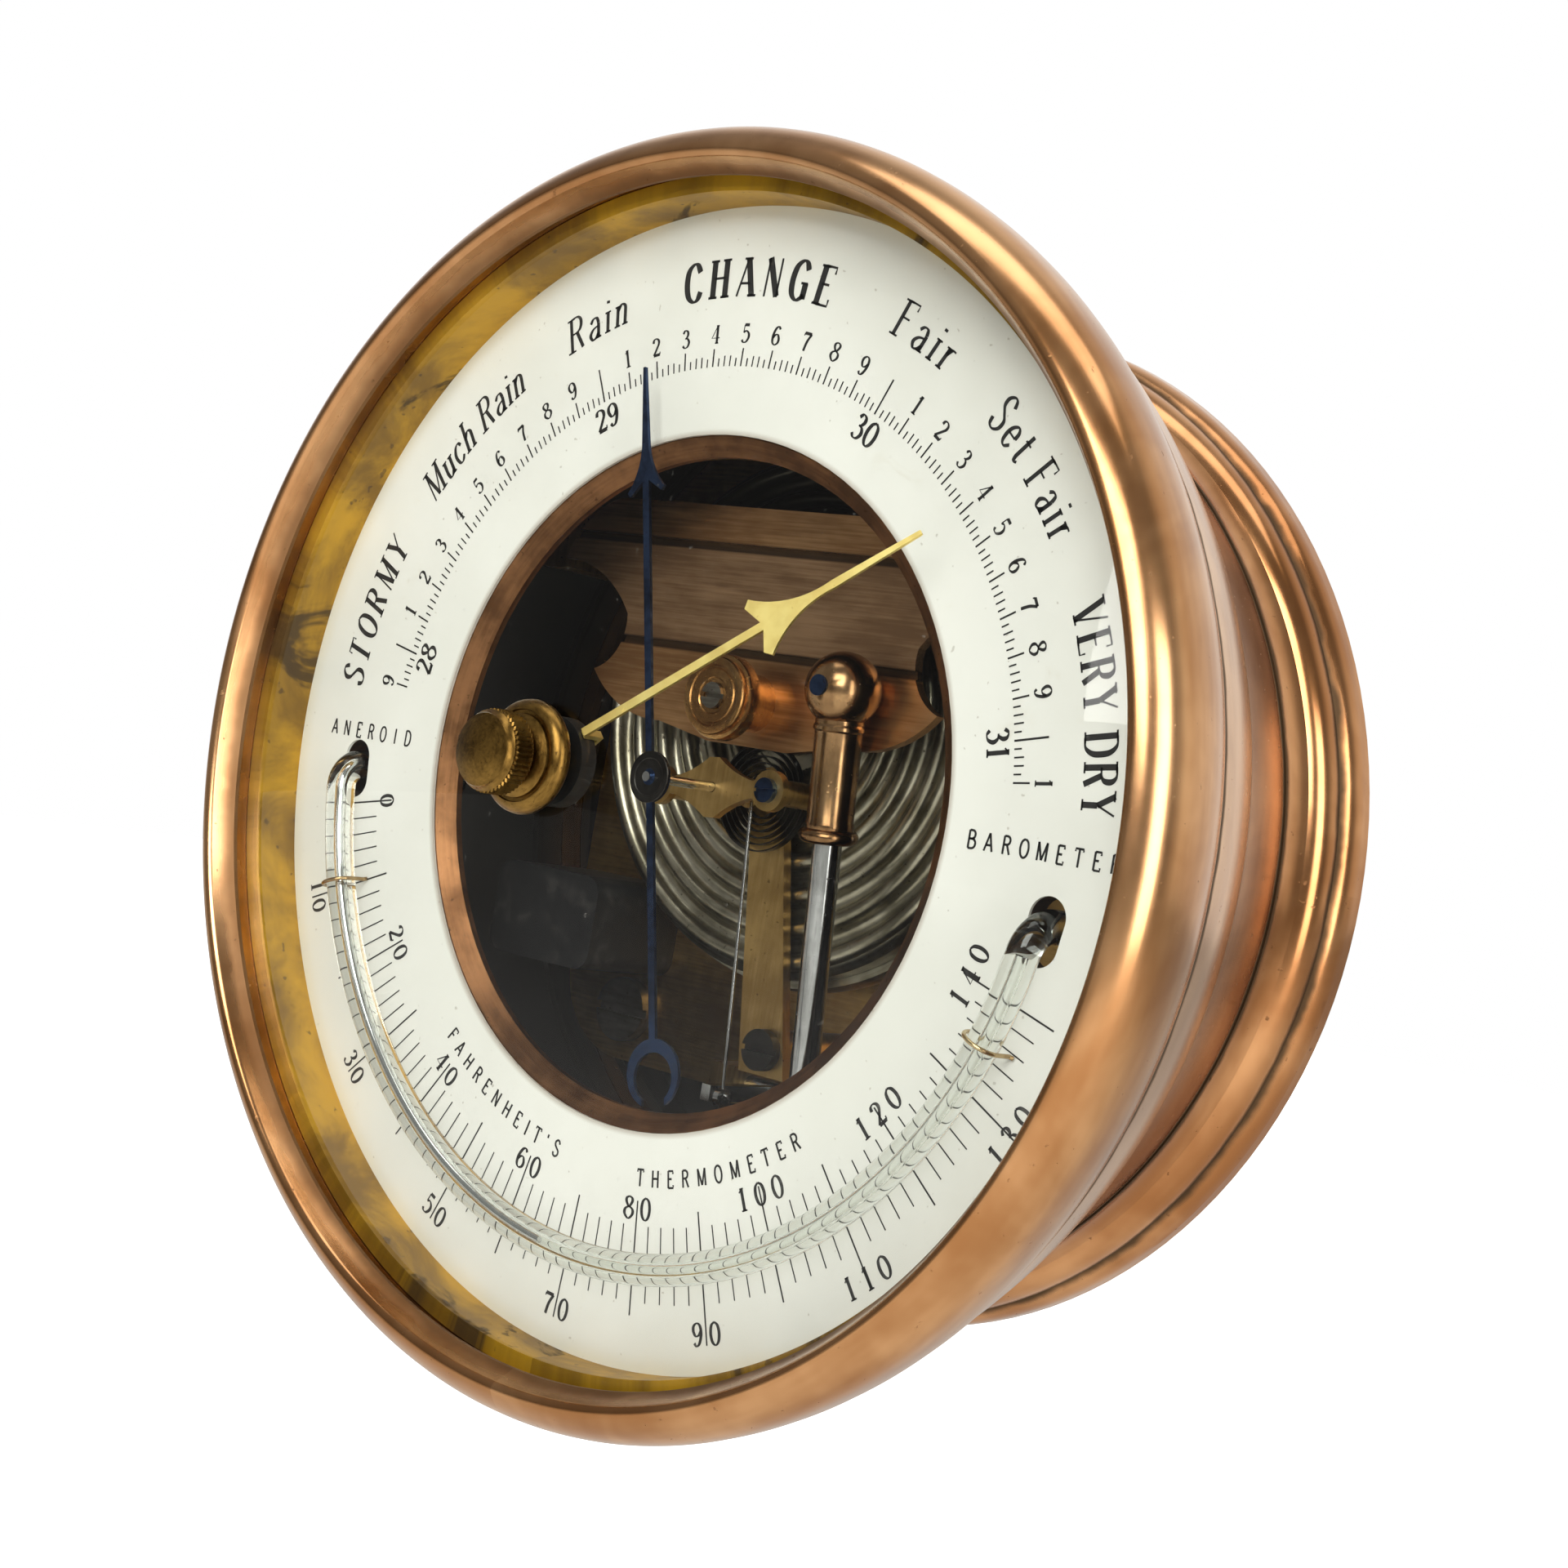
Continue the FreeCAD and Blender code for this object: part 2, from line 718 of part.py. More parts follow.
def dial_plate():
    """The brass plate behind the card, bevelled round its central opening."""
    disc = turned([
        ("dial_hole_r", "ledge"), ("dial_r", "ledge"), ("dial_r", "dial_face"),
        ("dial_bevel_r", "dial_face"),
        ("dial_hole_r", "dial_face - dial_bevel"),
    ])
    node("dial_plate", cut(disc, *tube_slots()))


def dial_card():
    """The white card that is printed with both scales."""
    disc = turned([
        ("card_hole_r", "dial_face"), ("card_r", "dial_face"), ("card_r", "card_face"),
        ("card_hole_r", "card_face"),
    ])
    node("dial_card", cut(disc, *tube_slots()))


def tube_point(degrees, tangent=0.0, drop=0.0):
    """A point on the thermometer's line: on its circle, moved clockwise along the tangent and dropped."""
    angle = math.radians(degrees)
    along = Vector(math.cos(angle), -math.sin(angle), 0).multiply(tangent)
    on_arc = Vector(math.sin(angle), math.cos(angle), 0).multiply(size("tube_circle_r"))
    return on_arc.add(along).add(Vector(0, 0, size("tube_axis") - drop))


def tube_edges(start, end, first_leg, last_leg, leg_base):
    """The thermometer's line as edges: up a leg, round a bend, along its circle, and down again."""
    bend = size("tube_bend_r")
    corner = bend * (1 - math.sqrt(0.5))
    leg = size("tube_axis") - leg_base
    edges = []
    if first_leg:
        edges.append(Part.LineSegment(tube_point(start, bend, leg), tube_point(start, bend, bend)))
        edges.append(Part.Arc(tube_point(start, bend, bend), tube_point(start, bend - corner, corner),
                              tube_point(start)))
    edges.append(Part.Arc(tube_point(start), tube_point((start + end) / 2), tube_point(end)))
    if last_leg:
        edges.append(Part.Arc(tube_point(end), tube_point(end, corner - bend, corner),
                              tube_point(end, -bend, bend)))
        edges.append(Part.LineSegment(tube_point(end, -bend, bend), tube_point(end, -bend, leg)))
    return [edge.toShape() for edge in edges]


def swept(edges, radius):
    """A round solid along joined edges."""
    path = Part.Wire(edges)
    start = edges[0].valueAt(edges[0].FirstParameter)
    direction = edges[0].tangentAt(edges[0].FirstParameter)
    section = Part.Wire([Part.Circle(start, direction, radius).toShape()])
    solid = path.makePipeShell([section], True, True)
    return solid if solid.Volume > 0 else solid.reversed()


def thermometer():
    """The curved glass tube with its bulb behind the dial, and the mercury inside it."""
    start, end, reading = size("tube_start_deg"), size("tube_end_deg"), size("mercury_end_deg")
    leg_base, bulb_base, bulb = size("tube_leg_base"), size("bulb_base"), size("bulb_r")
    wall, bore, thread = size("bulb_wall"), size("tube_bore_r"), size("mercury_r")
    lap, gap = size("bulb_lap"), size("fit / 2")
    foot = tube_point(start, size("tube_bend_r"), size("tube_axis") - bulb_base)
    up = Vector(0, 0, 1)
    outside = Part.makeCylinder(bulb, leg_base + lap - bulb_base, foot, up)
    hollow = Part.makeCylinder(bulb - wall, leg_base - lap - bulb_base, foot.add(Vector(0, 0, wall)), up)
    tube = swept(tube_edges(start, end, True, True, leg_base), size("tube_r")).fuse(outside)
    bore_line = tube_edges(start, end, True, False, leg_base - 1)
    node("thermometer_tube", feature(tube.cut(hollow).cut(swept(bore_line, bore)).removeSplitter()))

    lift = Vector(0, 0, wall + gap)
    filling = Part.makeCylinder(bulb - wall - gap, leg_base - lap - 2 * gap - bulb_base, foot.add(lift), up)
    column = swept(tube_edges(start, reading, True, False, leg_base - 1), thread)
    node("mercury", feature(filling.fuse(column).removeSplitter()))


def thermometer_clips():
    """Wire staples that hold the tube down on the card."""
    clips = []
    wire = size("clip_wire_r")
    reach = size("tube_r + fit / 2") + wire
    axis = size("tube_axis")
    for angle in (size("clip_low_deg"), size("clip_high_deg")):
        out = Vector(math.sin(math.radians(angle)), math.cos(math.radians(angle)), 0)
        centre = Vector(out).multiply(size("tube_circle_r")).add(Vector(0, 0, axis))
        inside, outside = centre.sub(Vector(out).multiply(reach)), centre.add(Vector(out).multiply(reach))
        drop = Vector(0, 0, size("card_face + weld") - axis)
        clips.append(swept([
            Part.LineSegment(inside.add(drop), inside).toShape(),
            Part.Arc(inside, centre.add(Vector(0, 0, reach)), outside).toShape(),
            Part.LineSegment(outside, outside.add(drop)).toShape(),
        ], wire))
    node("thermometer_clips", feature(Part.Compound(clips)))


# ---------------------------------------------------------------- movement base and capsule


def base_plate():
    """The movement's base plate, on pillars inside the back cover."""
    corner, half = "plate_corner_r", "plate_half_width"
    holes = [(x, y, "base_screw_r + running_gap") for x, y in BASE_SPOTS]
    holes.append(("0", "adjuster_up", "adjuster_r + running_gap"))
    node("movement_plate", plate([
        (f"{half} - {corner}", "plate_low"), (half, f"plate_low + {corner}", f"-{corner}"),
        (half, "plate_shoulder"), ("plate_slope_x", "plate_slope"), ("plate_high_half", "plate_high"),
        ("-plate_high_half", "plate_high"), ("-plate_slope_x", "plate_slope"),
        (f"-{half}", "plate_shoulder"),
        (f"-{half}", f"plate_low + {corner}"), (f"{corner} - {half}", "plate_low", f"-{corner}"),
    ], "plate_base", "plate_top", holes))


def base_fixings():
    """Pillars between the back cover and the base plate, and the large slotted screws into them."""
    pillars = []
    screws = []
    for x, y in BASE_SPOTS:
        pillar = peg("pillar_r", "cover_wall", "plate_base", x, y)
        pillars.append(cut(pillar, peg("base_screw_r + running_gap", "base_screw_end - base_screw_play",
                                       "plate_base + overrun", x, y)))
        screws.append(slotted_screw(x, y, "base_screw_r", "base_screw_end", "base_screw_head_r",
                                    "plate_top", "plate_top + base_screw_head"))
    node("base_pillars", group(pillars))
    node("base_screws", group(screws))


def movement_block():
    """The black japanned block at the lower left of the movement."""
    radius = "block_corner_r"
    node("movement_block", plate([
        (f"block_right - {radius}", "block_low"), ("block_right", f"block_low + {radius}", f"-{radius}"),
        ("block_right", f"block_high - {radius}"), (f"block_right - {radius}", "block_high", f"-{radius}"),
        (f"block_left + {radius}", "block_high"), ("block_left", f"block_high - {radius}", f"-{radius}"),
        ("block_left", f"block_low + {radius}"), (f"block_left + {radius}", "block_low", f"-{radius}"),
    ], "plate_top", "block_top"))


def coil_line():
    """The helix of the spring inside the capsule, as one smooth edge."""
    steps = 24
    points = []
    for step in range(int(size("coil_length") / size("coil_pitch") * steps) + 1):
        angle = 2 * math.pi * step / steps
        radius, rise = size("coil_r"), size("coil_pitch") * step / steps
        points.append(Vector(radius * math.cos(angle), radius * math.sin(angle), rise))
    curve = Part.BSplineCurve()
    curve.interpolate(points)
    return curve.toShape()


def capsule():
    """The vacuum capsule: two shells, a soldered band, a foot, and the spring that holds it open."""
    node("capsule_foot", peg("capsule_foot_r", "plate_top", "capsule_base"),
         up="capsule_up", forward="plate_top")
    node("capsule_back", turned([
        ("0", "capsule_base"), ("capsule_r", "capsule_base"), ("capsule_r", "capsule_joint - running_gap"),
        ("capsule_r - capsule_skin", "capsule_joint - running_gap"),
        ("capsule_r - capsule_skin", "capsule_base + capsule_skin"), ("0", "capsule_base + capsule_skin"),
    ]), up="capsule_up")
    half_waves = 12
    arc = "((wave_pitch / 4) ^ 2 + wave_deep ^ 2) / (2 * wave_deep)"
    front = [("wave_inner_r", "capsule_top")]
    back = [("wave_inner_r", "capsule_top - capsule_skin")]
    for number in range(1, half_waves + 1):
        sign = "-" if number % 2 else ""
        radius = f"wave_inner_r + {number} * wave_pitch / 2"
        front.append((radius, "capsule_top", f"{sign}({arc})"))
        back.append((radius, "capsule_top - capsule_skin", f"{sign}({arc})"))
    under = [back[-1][:2]]
    for number in range(half_waves - 1, -1, -1):
        sign = "" if number % 2 == 0 else "-"
        radius = f"wave_inner_r + {number} * wave_pitch / 2"
        under.append((radius, "capsule_top - capsule_skin", f"{sign}({arc})"))
    node("capsule_front", turned([
        ("0", "capsule_top - capsule_skin - lid_drop"), ("0", "capsule_top - lid_drop"),
        ("neck_bore_r", "capsule_top - lid_drop"),
        ("neck_bore_r", "neck_top"), ("neck_r", "neck_top"), ("neck_r", "capsule_top"),
        *front, ("capsule_r", "capsule_top - capsule_lip", "capsule_lip_r"), ("capsule_r", "capsule_joint"),
        ("capsule_r - capsule_skin", "capsule_joint"), ("capsule_r - capsule_skin",
        "capsule_top - capsule_inner_lip"),
        *under, ("neck_r", "capsule_top - capsule_skin - lid_drop"),
    ]), up="capsule_up")
    node("capsule_band", turned([
        ("capsule_r + running_gap", "capsule_joint - band_half"), ("band_r", "capsule_joint - band_half"),
        ("band_r", "capsule_joint + band_half", "-3 * band_half"),
        ("capsule_r + running_gap", "capsule_joint + band_half"),
    ]), up="capsule_up")
    node("capsule_spring", feature(swept([coil_line()], size("coil_wire_r"))), up="capsule_up",
         forward="coil_base")


# ---------------------------------------------------------------- lever



# ---------------------------------------------------------------- lever


def mirrored(corners):
    """An outline's right half, from bottom to top, followed by its mirror image from top to bottom."""
    left = []
    for number in range(len(corners) - 1, -1, -1):
        onward = corners[number + 1] if number + 1 < len(corners) else ()
        left.append((f"-({corners[number][0]})", corners[number][1], *onward[2:]))
    return list(corners) + left


def lever_plate():
    """The wide bronze lever that the capsule pulls, with two lugs for its axle."""
    body = plate(mirrored([
        ("lever_waist_x", "lever_low"), ("lever_toe_x", "lever_toe_up"),
        ("lever_hip_x", "lever_hip_up", "-lever_toe_x"), ("lever_notch_x", "lever_notch_up",
        "lever_waist_x"),
        ("lever_horn_x", "lever_horn_up", "lever_toe_x"), ("lever_crest_x", "lever_crest_up",
        "-lever_shoulder_r"),
    ]), "lever_base", "lever_top", [("0", "capsule_up", "post_r"), ("ball_x", "ball_up", "stud_r")])
    grooves = []
    for line in ("groove_high", "groove_low"):
        grooves.append(slab("-lever_horn_x - overrun", "lever_horn_x + overrun", f"{line} - groove_half",
                            f"{line} + groove_half",
                            "lever_top - groove_depth", "lever_top + overrun"))
    lugs = []
    for left in ("-lug_inner - lug_width", "lug_inner"):
        block = slab(left, f"{left} + lug_width", "axle_up - lug_half", "axle_up + lug_half",
                     "axle_forward - lug_half", "lever_base + weld")
        bore = cross_peg("axle_r", f"{left} - overrun", f"{left} + lug_width + overrun", "axle_up",
                         "axle_forward")
        lugs.append(cut(block, bore))
    node("lever_plate", joined(cut(body, *grooves), *lugs))


def lever_bearings():
    """The lever's axle, the trunnions on the base plate, and the screws whose points carry the axle."""
    axle = cross_peg("axle_r", "-axle_half", "axle_half", "axle_up", "axle_forward")
    posts = []
    screws = []
    recesses = []
    for side in ("", "-"):
        inner, outer = f"{side}trunnion_inner", f"{side}(trunnion_inner + trunnion_width)"
        left, right = (inner, outer) if side == "" else (outer, inner)
        post = slab(left, right, "axle_up - trunnion_half", "axle_up + trunnion_half",
                    "plate_top", "trunnion_top")
        hole = cross_peg("pivot_screw_r", f"{left} - overrun", f"{right} + overrun", "axle_up",
                         "axle_forward")
        posts.append(cut(post, hole))
        ends = (inner, f"{side}pivot_screw_end")
        tip = (f"{side}(axle_half - pivot_length)", f"{side}(trunnion_inner + fit)")
        head = (f"{side}(pivot_screw_end - slot_depth)", f"{side}(pivot_screw_end + overrun)")
        if side == "-":
            ends, tip, head = ends[::-1], tip[::-1], head[::-1]
        shank = cross_peg("pivot_screw_r", *ends, "axle_up", "axle_forward")
        point = cross_peg("pivot_r", *tip, "axle_up", "axle_forward")
        slot = slab(*head, "axle_up - slot_long", "axle_up + slot_long", "axle_forward - slot_half",
                    "axle_forward + slot_half")
        screws.append(cut(joined(shank, point), slot))
        recess = (f"{side}(axle_half - pivot_length - fit)", f"{side}(axle_half + overrun)")
        recess = recess[::-1] if side == "-" else recess
        recesses.append(cross_peg("pivot_r + running_gap", *recess, "axle_up", "axle_forward"))
    node("lever_axle", cut(axle, *recesses))
    node("trunnions", group(posts))
    node("pivot_screws", group(screws))


def lever_head():
    """The post that the capsule pulls, and the turned boss and screw that clamp it to the lever."""
    node("capsule_post", peg("post_r", "post_base", "lever_top"), up="capsule_up", forward="post_base")
    boss = turned([
        ("0", "lever_top"), ("boss_neck_r", "lever_top"), ("boss_neck_r", "boss_top - boss_rim"),
        ("boss_r", "boss_top - boss_rim"), ("boss_r", "boss_top - 2 * boss_step"),
        ("boss_r - boss_step", "boss_top - boss_step"), ("boss_r - boss_step", "boss_top"),
        ("0", "boss_top"),
    ])
    seat = peg("boss_screw_r", "boss_top - boss_screw_deep", "boss_top + overrun")
    node("lever_boss", cut(boss, seat), up="capsule_up")
    screw = peg("boss_screw_r", "boss_top - boss_screw_deep", "boss_top + slot_half")
    slot = slab("-slot_long", "slot_long", "-slot_half", "slot_half", "boss_top - slot_depth",
                "boss_top + overrun")
    node("boss_screw", cut(screw, slot), up="capsule_up")


def leaning(item):
    """Turns an item drawn along z so that it hangs down from the ball, leaning back to the wall."""
    item.Placement = FreeCAD.Placement(Vector(0, 0, 0), FreeCAD.Rotation(Vector(1, 0, 0),
                                                                         90 + size("rod_lean_deg")))
    return item


def along_rod(item, start):
    """Moves a leaning item down the rod's axis, from the ball's centre."""
    leaning(item)
    item.setExpression("Placement.Base.y", bound(f"-({start}) * cos(rod_lean_deg * 1deg)"))
    item.setExpression("Placement.Base.z", bound(f"-({start}) * sin(rod_lean_deg * 1deg)"))
    return item


def rod_bore(radius, start, length):
    """A cylinder along the leaning rod's axis."""
    item = doc.addObject("Part::Cylinder", "RodPeg")
    item.setExpression("Radius", bound(radius))
    item.setExpression("Height", bound(length))
    return along_rod(item, start)


def lever_rod():
    """The ball head on its stud, with the socket that hangs from it and the long steel rod in that."""
    ball = doc.addObject("Part::Sphere", "Ball")
    ball.setExpression("Radius", bound("ball_r"))
    ring = doc.addObject("Part::Torus", "Ring")
    ring.setExpression("Radius1", bound("socket_ring_r"))
    ring.setExpression("Radius2", bound("socket_ring_half"))
    socket = joined(ball, rod_bore("socket_r", "0", "socket_length"),
                    along_rod(ring, "socket_length - socket_ring_half"))
    stud_hole = peg("stud_r", "-ball_r - overrun", "ball_r + overrun")
    node("ball_head", cut(socket, stud_hole, rod_bore("rod_r", "rod_start", "rod_length")),
         "ball_x", "ball_up", "ball_forward")
    node("ball_stud", peg("stud_r", "lever_base", "stud_top"), "ball_x", "ball_up", "lever_base")
    foot = "(ball_up - rocker_up + drive_arm)"
    pin = cross_peg("drive_pin_r", "0", "drive_pin_end - ball_x", f"-{foot}",
                    f"-{foot} * tan(rod_lean_deg * 1deg)")
    node("lever_rod", joined(rod_bore("rod_r", "rod_start", "rod_length"), pin), "ball_x", "ball_up",
         "ball_forward")


# ---------------------------------------------------------------- rocker and links


def rocker():
    """The rocking shaft: an arm down to the drive link, and an arm forwards to the fine wire."""
    shaft = cross_peg("rocker_shaft_r", "rocker_left", "rocker_right", "rocker_up", "rocker_forward")
    points = cross_peg("pivot_r", "rocker_left - 2", "rocker_right + 2", "rocker_up", "rocker_forward")
    half = "rocker_arm_half"
    down = slab(f"drive_arm_x - {half}", f"drive_arm_x + {half}", "rocker_up - drive_arm - drive_arm_end",
                "rocker_up",
                "rocker_forward - rocker_arm_deep", "rocker_forward + rocker_arm_deep")
    drive_pin = cross_peg("drive_pin_r", "drive_arm_x", "drive_pin_end", "rocker_up - drive_arm",
                          "rocker_forward")
    reach = f"({WIRE_FOOT_X} - 3 * {half} - wire_eye_half)"
    forward = slab(reach, f"{reach} + 2 * {half}", "rocker_up - rocker_tip_half",
                   "rocker_up + rocker_tip_half",
                   "rocker_forward", "chain_drum_forward + rocker_tip_reach")
    wire_pin = cross_peg("wire_pin_r", reach, f"{WIRE_FOOT_X} + rocker_tip_reach", "rocker_up",
                         "chain_drum_forward")
    node("rocker", joined(shaft, points, down, drive_pin, forward, wire_pin))
    posts = []
    for left in ("rocker_left - fit - rocker_post_width", "rocker_right + fit"):
        post = slab(left, f"{left} + rocker_post_width", "rocker_post_low", "rocker_post_high",
                    "plate_top", "rocker_post_top")
        bore = cross_peg("pivot_r + running_gap", f"{left} - overrun",
                         f"{left} + rocker_post_width + overrun",
                         "rocker_up", "rocker_forward")
        posts.append(cut(post, bore))
    node("rocker_posts", group(posts))


def drive_link():
    """The short flat link from the long rod's foot to the rocker."""
    up = "rocker_up - drive_arm"
    rear = "rocker_forward"
    front = "ball_forward - (ball_up - rocker_up + drive_arm) * tan(rod_lean_deg * 1deg)"
    left, right = "link_x - link_half", "link_x + link_half"
    eyes = [cross_peg("link_eye_r", left, right, up, place) for place in (rear, front)]
    bar = slab(left, right, f"{up} - link_bar_half", f"{up} + link_bar_half", rear, front)
    bores = [cross_peg("link_eye_bore_r", f"{left} - overrun", f"{right} + overrun", up,
                       place) for place in (rear, front)]
    node("drive_link", cut(joined(bar, *eyes), *bores))


WIRE_TOP_X = "((chain_drum_r + wire_r) * cos(wire_lean_deg * 1deg))"
WIRE_TOP_UP = "((chain_drum_r + wire_r) * sin(wire_lean_deg * 1deg))"
WIRE_FOOT_X = f"({WIRE_TOP_X} + (wire_length + wire_eye_r) * sin(wire_lean_deg * 1deg))"


def hand_wire():
    """The fine wire that unwinds from the arbor's drum and ends in an eye on the rocker's pin."""
    wire = doc.addObject("Part::Cylinder", "Wire")
    wire.Placement = FreeCAD.Placement(Vector(0, 0, 0), FreeCAD.Rotation(Vector(1, 0, 0), 90))
    wire.setExpression("Radius", bound("wire_r"))
    wire.setExpression("Height", bound("wire_length + fit"))
    eye = cross_peg("wire_eye_r", "-wire_eye_half", "wire_eye_half", "-wire_length - wire_eye_r", "0")
    bore = cross_peg("wire_eye_bore_r", "-1", "1", "-wire_length - wire_eye_r", "0")
    lean = FreeCAD.Rotation(Vector(0, 0, 1), size("wire_lean_deg"))
    node("hand_wire", cut(joined(wire, eye), bore), WIRE_TOP_X, WIRE_TOP_UP, "chain_drum_forward", lean)


# ---------------------------------------------------------------- arbor


def arbor():
    """The arbor that carries the indicating hand, its drum and the collet of its hairspring."""
    node("hand_arbor", turned([
        ("0", "arbor_base"), ("arbor_pivot_r", "arbor_base"), ("arbor_pivot_r", "bridge_top + fit"),
        ("arbor_r", "bridge_top + fit"), ("arbor_r", "cock_base - fit"),
        ("arbor_front_r", "cock_base - fit"),
        ("arbor_front_r", "arbor_top"), ("0", "arbor_top"),
    ]))
    rim = "chain_drum_r + drum_flange"
    node("chain_drum", turned([
        ("arbor_r", "chain_drum_forward - drum_half"), (rim, "chain_drum_forward - drum_half"),
        (rim, "chain_drum_forward - drum_groove_half"), ("chain_drum_r",
        "chain_drum_forward - drum_groove_half"),
        ("chain_drum_r", "chain_drum_forward + drum_groove_half"),
        (rim, "chain_drum_forward + drum_groove_half"),
        (rim, "chain_drum_forward + drum_half"), ("arbor_r", "chain_drum_forward + drum_half"),
    ]))
    node("hairspring_collet", turned([
        ("arbor_r", "hairspring_base - collet_step"), ("collet_r", "hairspring_base - collet_step"),
        ("collet_r", "hairspring_top + collet_step"), ("arbor_r", "hairspring_top + collet_step"),
    ]))


def cock_shape(base, top):
    """A lozenge with an eye at each end, for the bridge's arms and the cock in front of them."""
    right = [
        ("cock_middle_x", "-cock_middle_half"), ("cock_neck_x", "-cock_neck_half", "cock_curve_r"),
        ("cock_reach", "-cock_neck_half"), ("cock_reach", "cock_neck_half"),
        ("cock_neck_x", "cock_neck_half"),
        ("cock_middle_x", "cock_middle_half", "cock_curve_r"),
    ]
    left = [(f"-{right[0][0]}", "cock_middle_half")]
    for number in range(1, len(right)):
        across, up, *curve = right[number]
        up = up[1:] if up.startswith("-") else f"-{up}"
        left.append((f"-{across}", up, *curve))
    eyes = [peg("cock_eye_r", base, top, side) for side in ("cock_reach", "-cock_reach")]
    return joined(plate(right + left, base, top), *eyes)


def arbor_frame():
    """The bridge behind the arbor, the cock in front of it, and what they stand on."""
    lean = FreeCAD.Rotation(Vector(0, 0, 1), size("cock_turn_deg"))
    eye = "bridge_eye_r"
    strip = plate([
        ("bridge_foot_left", "bridge_foot_low"), ("bridge_foot_right", "bridge_foot_low"),
        (eye, f"-{eye}"), (eye, "0"), (f"-{eye}", "0", f"-half_turn * {eye}"),
    ], "bridge_base", "bridge_top", [("bridge_screw_x", "bridge_screw_up", "cock_screw_r")])
    arms = cock_shape("bridge_base", "bridge_top")
    arms.Placement = FreeCAD.Placement(Vector(0, 0, 0), lean)
    bore = peg("arbor_pivot_r + running_gap", "bridge_base - overrun", "bridge_top + overrun")
    node("arbor_bridge", cut(joined(strip, arms), bore))
    post = peg("bridge_post_r", "plate_top", "bridge_base", "bridge_screw_x", "bridge_screw_up")
    seat = peg("cock_screw_r", "bridge_base - cock_screw_depth", "bridge_base + overrun",
               "bridge_screw_x", "bridge_screw_up")
    node("bridge_post", cut(post, seat))
    node("bridge_screw", slotted_screw("bridge_screw_x", "bridge_screw_up", "cock_screw_r",
                                       "bridge_base - cock_screw_depth", "bridge_post_r", "bridge_top",
                                       "bridge_top + post_screw_head"))
    pillars, screws, holes = [], [], []
    for side in ("cock_reach", "-cock_reach"):
        seat = peg("cock_screw_r", "cock_base - cock_screw_depth", "cock_base + overrun", side)
        pillars.append(cut(peg("cock_pillar_r", "bridge_top", "cock_base", side), seat))
        screws.append(slotted_screw(side, "0", "cock_screw_r", "cock_base - cock_screw_depth",
                                    "cock_screw_head_r", "cock_top", "cock_top + cock_screw_head"))
        holes.append(peg("cock_screw_r", "cock_base - overrun", "cock_top + overrun", side))
    holes.append(peg("arbor_front_r + running_gap", "cock_base - overrun", "cock_top + overrun"))
    node("cock_pillars", group(pillars), turn=lean)
    node("cock_screws", group(screws), turn=lean)
    node("arbor_cock", cut(cock_shape("cock_base", "cock_top"), *holes), turn=lean)


def hairspring():
    """The flat spiral spring, one end on the collet and the other on a stud in the bridge."""
    turns, steps = size("hairspring_turns"), 24
    inner, outer, half = size("hairspring_inner_r"), size("hairspring_r"), size("hairspring_half")
    base, top = size("hairspring_base"), size("hairspring_top")

    def spiral(offset):
        points = []
        for step in range(int(turns * steps) + 1):
            angle = 2 * math.pi * step / steps
            radius = inner + (outer - inner) * step / (turns * steps) + offset
            points.append(Vector(radius * math.cos(angle), radius * math.sin(angle), base))
        curve = Part.BSplineCurve()
        curve.interpolate(points)
        return curve.toShape()

    inside, outside = spiral(-half), spiral(half)
    ends = []
    for end in (0, -1):
        ends.append(Part.LineSegment(inside.Vertexes[end].Point, outside.Vertexes[end].Point).toShape())
    strip = Part.Face(Part.Wire(Part.__sortEdges__([inside, outside, *ends]))).extrude(Vector(0, 0,
                                                                                              top - base))
    node("hairspring", feature(strip))


# ---------------------------------------------------------------- hands, knob and adjuster


def spear(name, root, base, top):
    """One hand's blade: a thin shaft, an arrowhead with two barbs, and a long taper to its tip."""
    return plate(mirrored([
        (f"{name}_half", root), (f"{name}_half", f"{name}_crotch"),
        (f"{name}_barb_half - {name}_barb_end", f"{name}_barb"),
        (f"{name}_barb_half", f"{name}_barb + {name}_barb_end"),
        (f"{name}_half", f"{name}_neck", f"{name}_curve_r"), (f"{name}_tip_half", f"{name}_tip"),
    ]), base, top)


def indicating_hand():
    """The blued hand: a spear with barbs, a round hub and a crescent on its tail, open at its end."""
    blade = spear("hand", "0", "hand_base", "hand_top")
    tail = slab("-hand_half", "hand_half", "crescent_r - hand_tail", "0", "hand_base", "hand_top")
    centre = "-(hand_tail - crescent_r)"
    low, high = "hand_base - overrun", "hand_top + overrun"
    ring = cut(peg("crescent_r", "hand_base", "hand_top", "0", centre),
               peg("crescent_bore_r", low, high, "0", f"{centre} - hand_half"),
               slab("-crescent_gap", "crescent_gap", "-hand_tail - overrun", centre, low, high))
    web = slab("-hand_half", "hand_half", f"{centre} + crescent_bore_r", f"{centre} + crescent_r",
               "hand_base", "hand_top")
    hub = peg("hand_hub_r", "hand_base", "hand_top")
    bore = peg("arbor_front_r", low, high)
    turn = FreeCAD.Rotation(Vector(0, 0, 1), -size("hand_rest_deg"))
    stem = cut(tail, peg("crescent_bore_r", low, high, "0", f"{centre} - hand_half"))
    node("indicating_hand", cut(joined(blade, stem, ring, web, hub), bore), turn=turn)


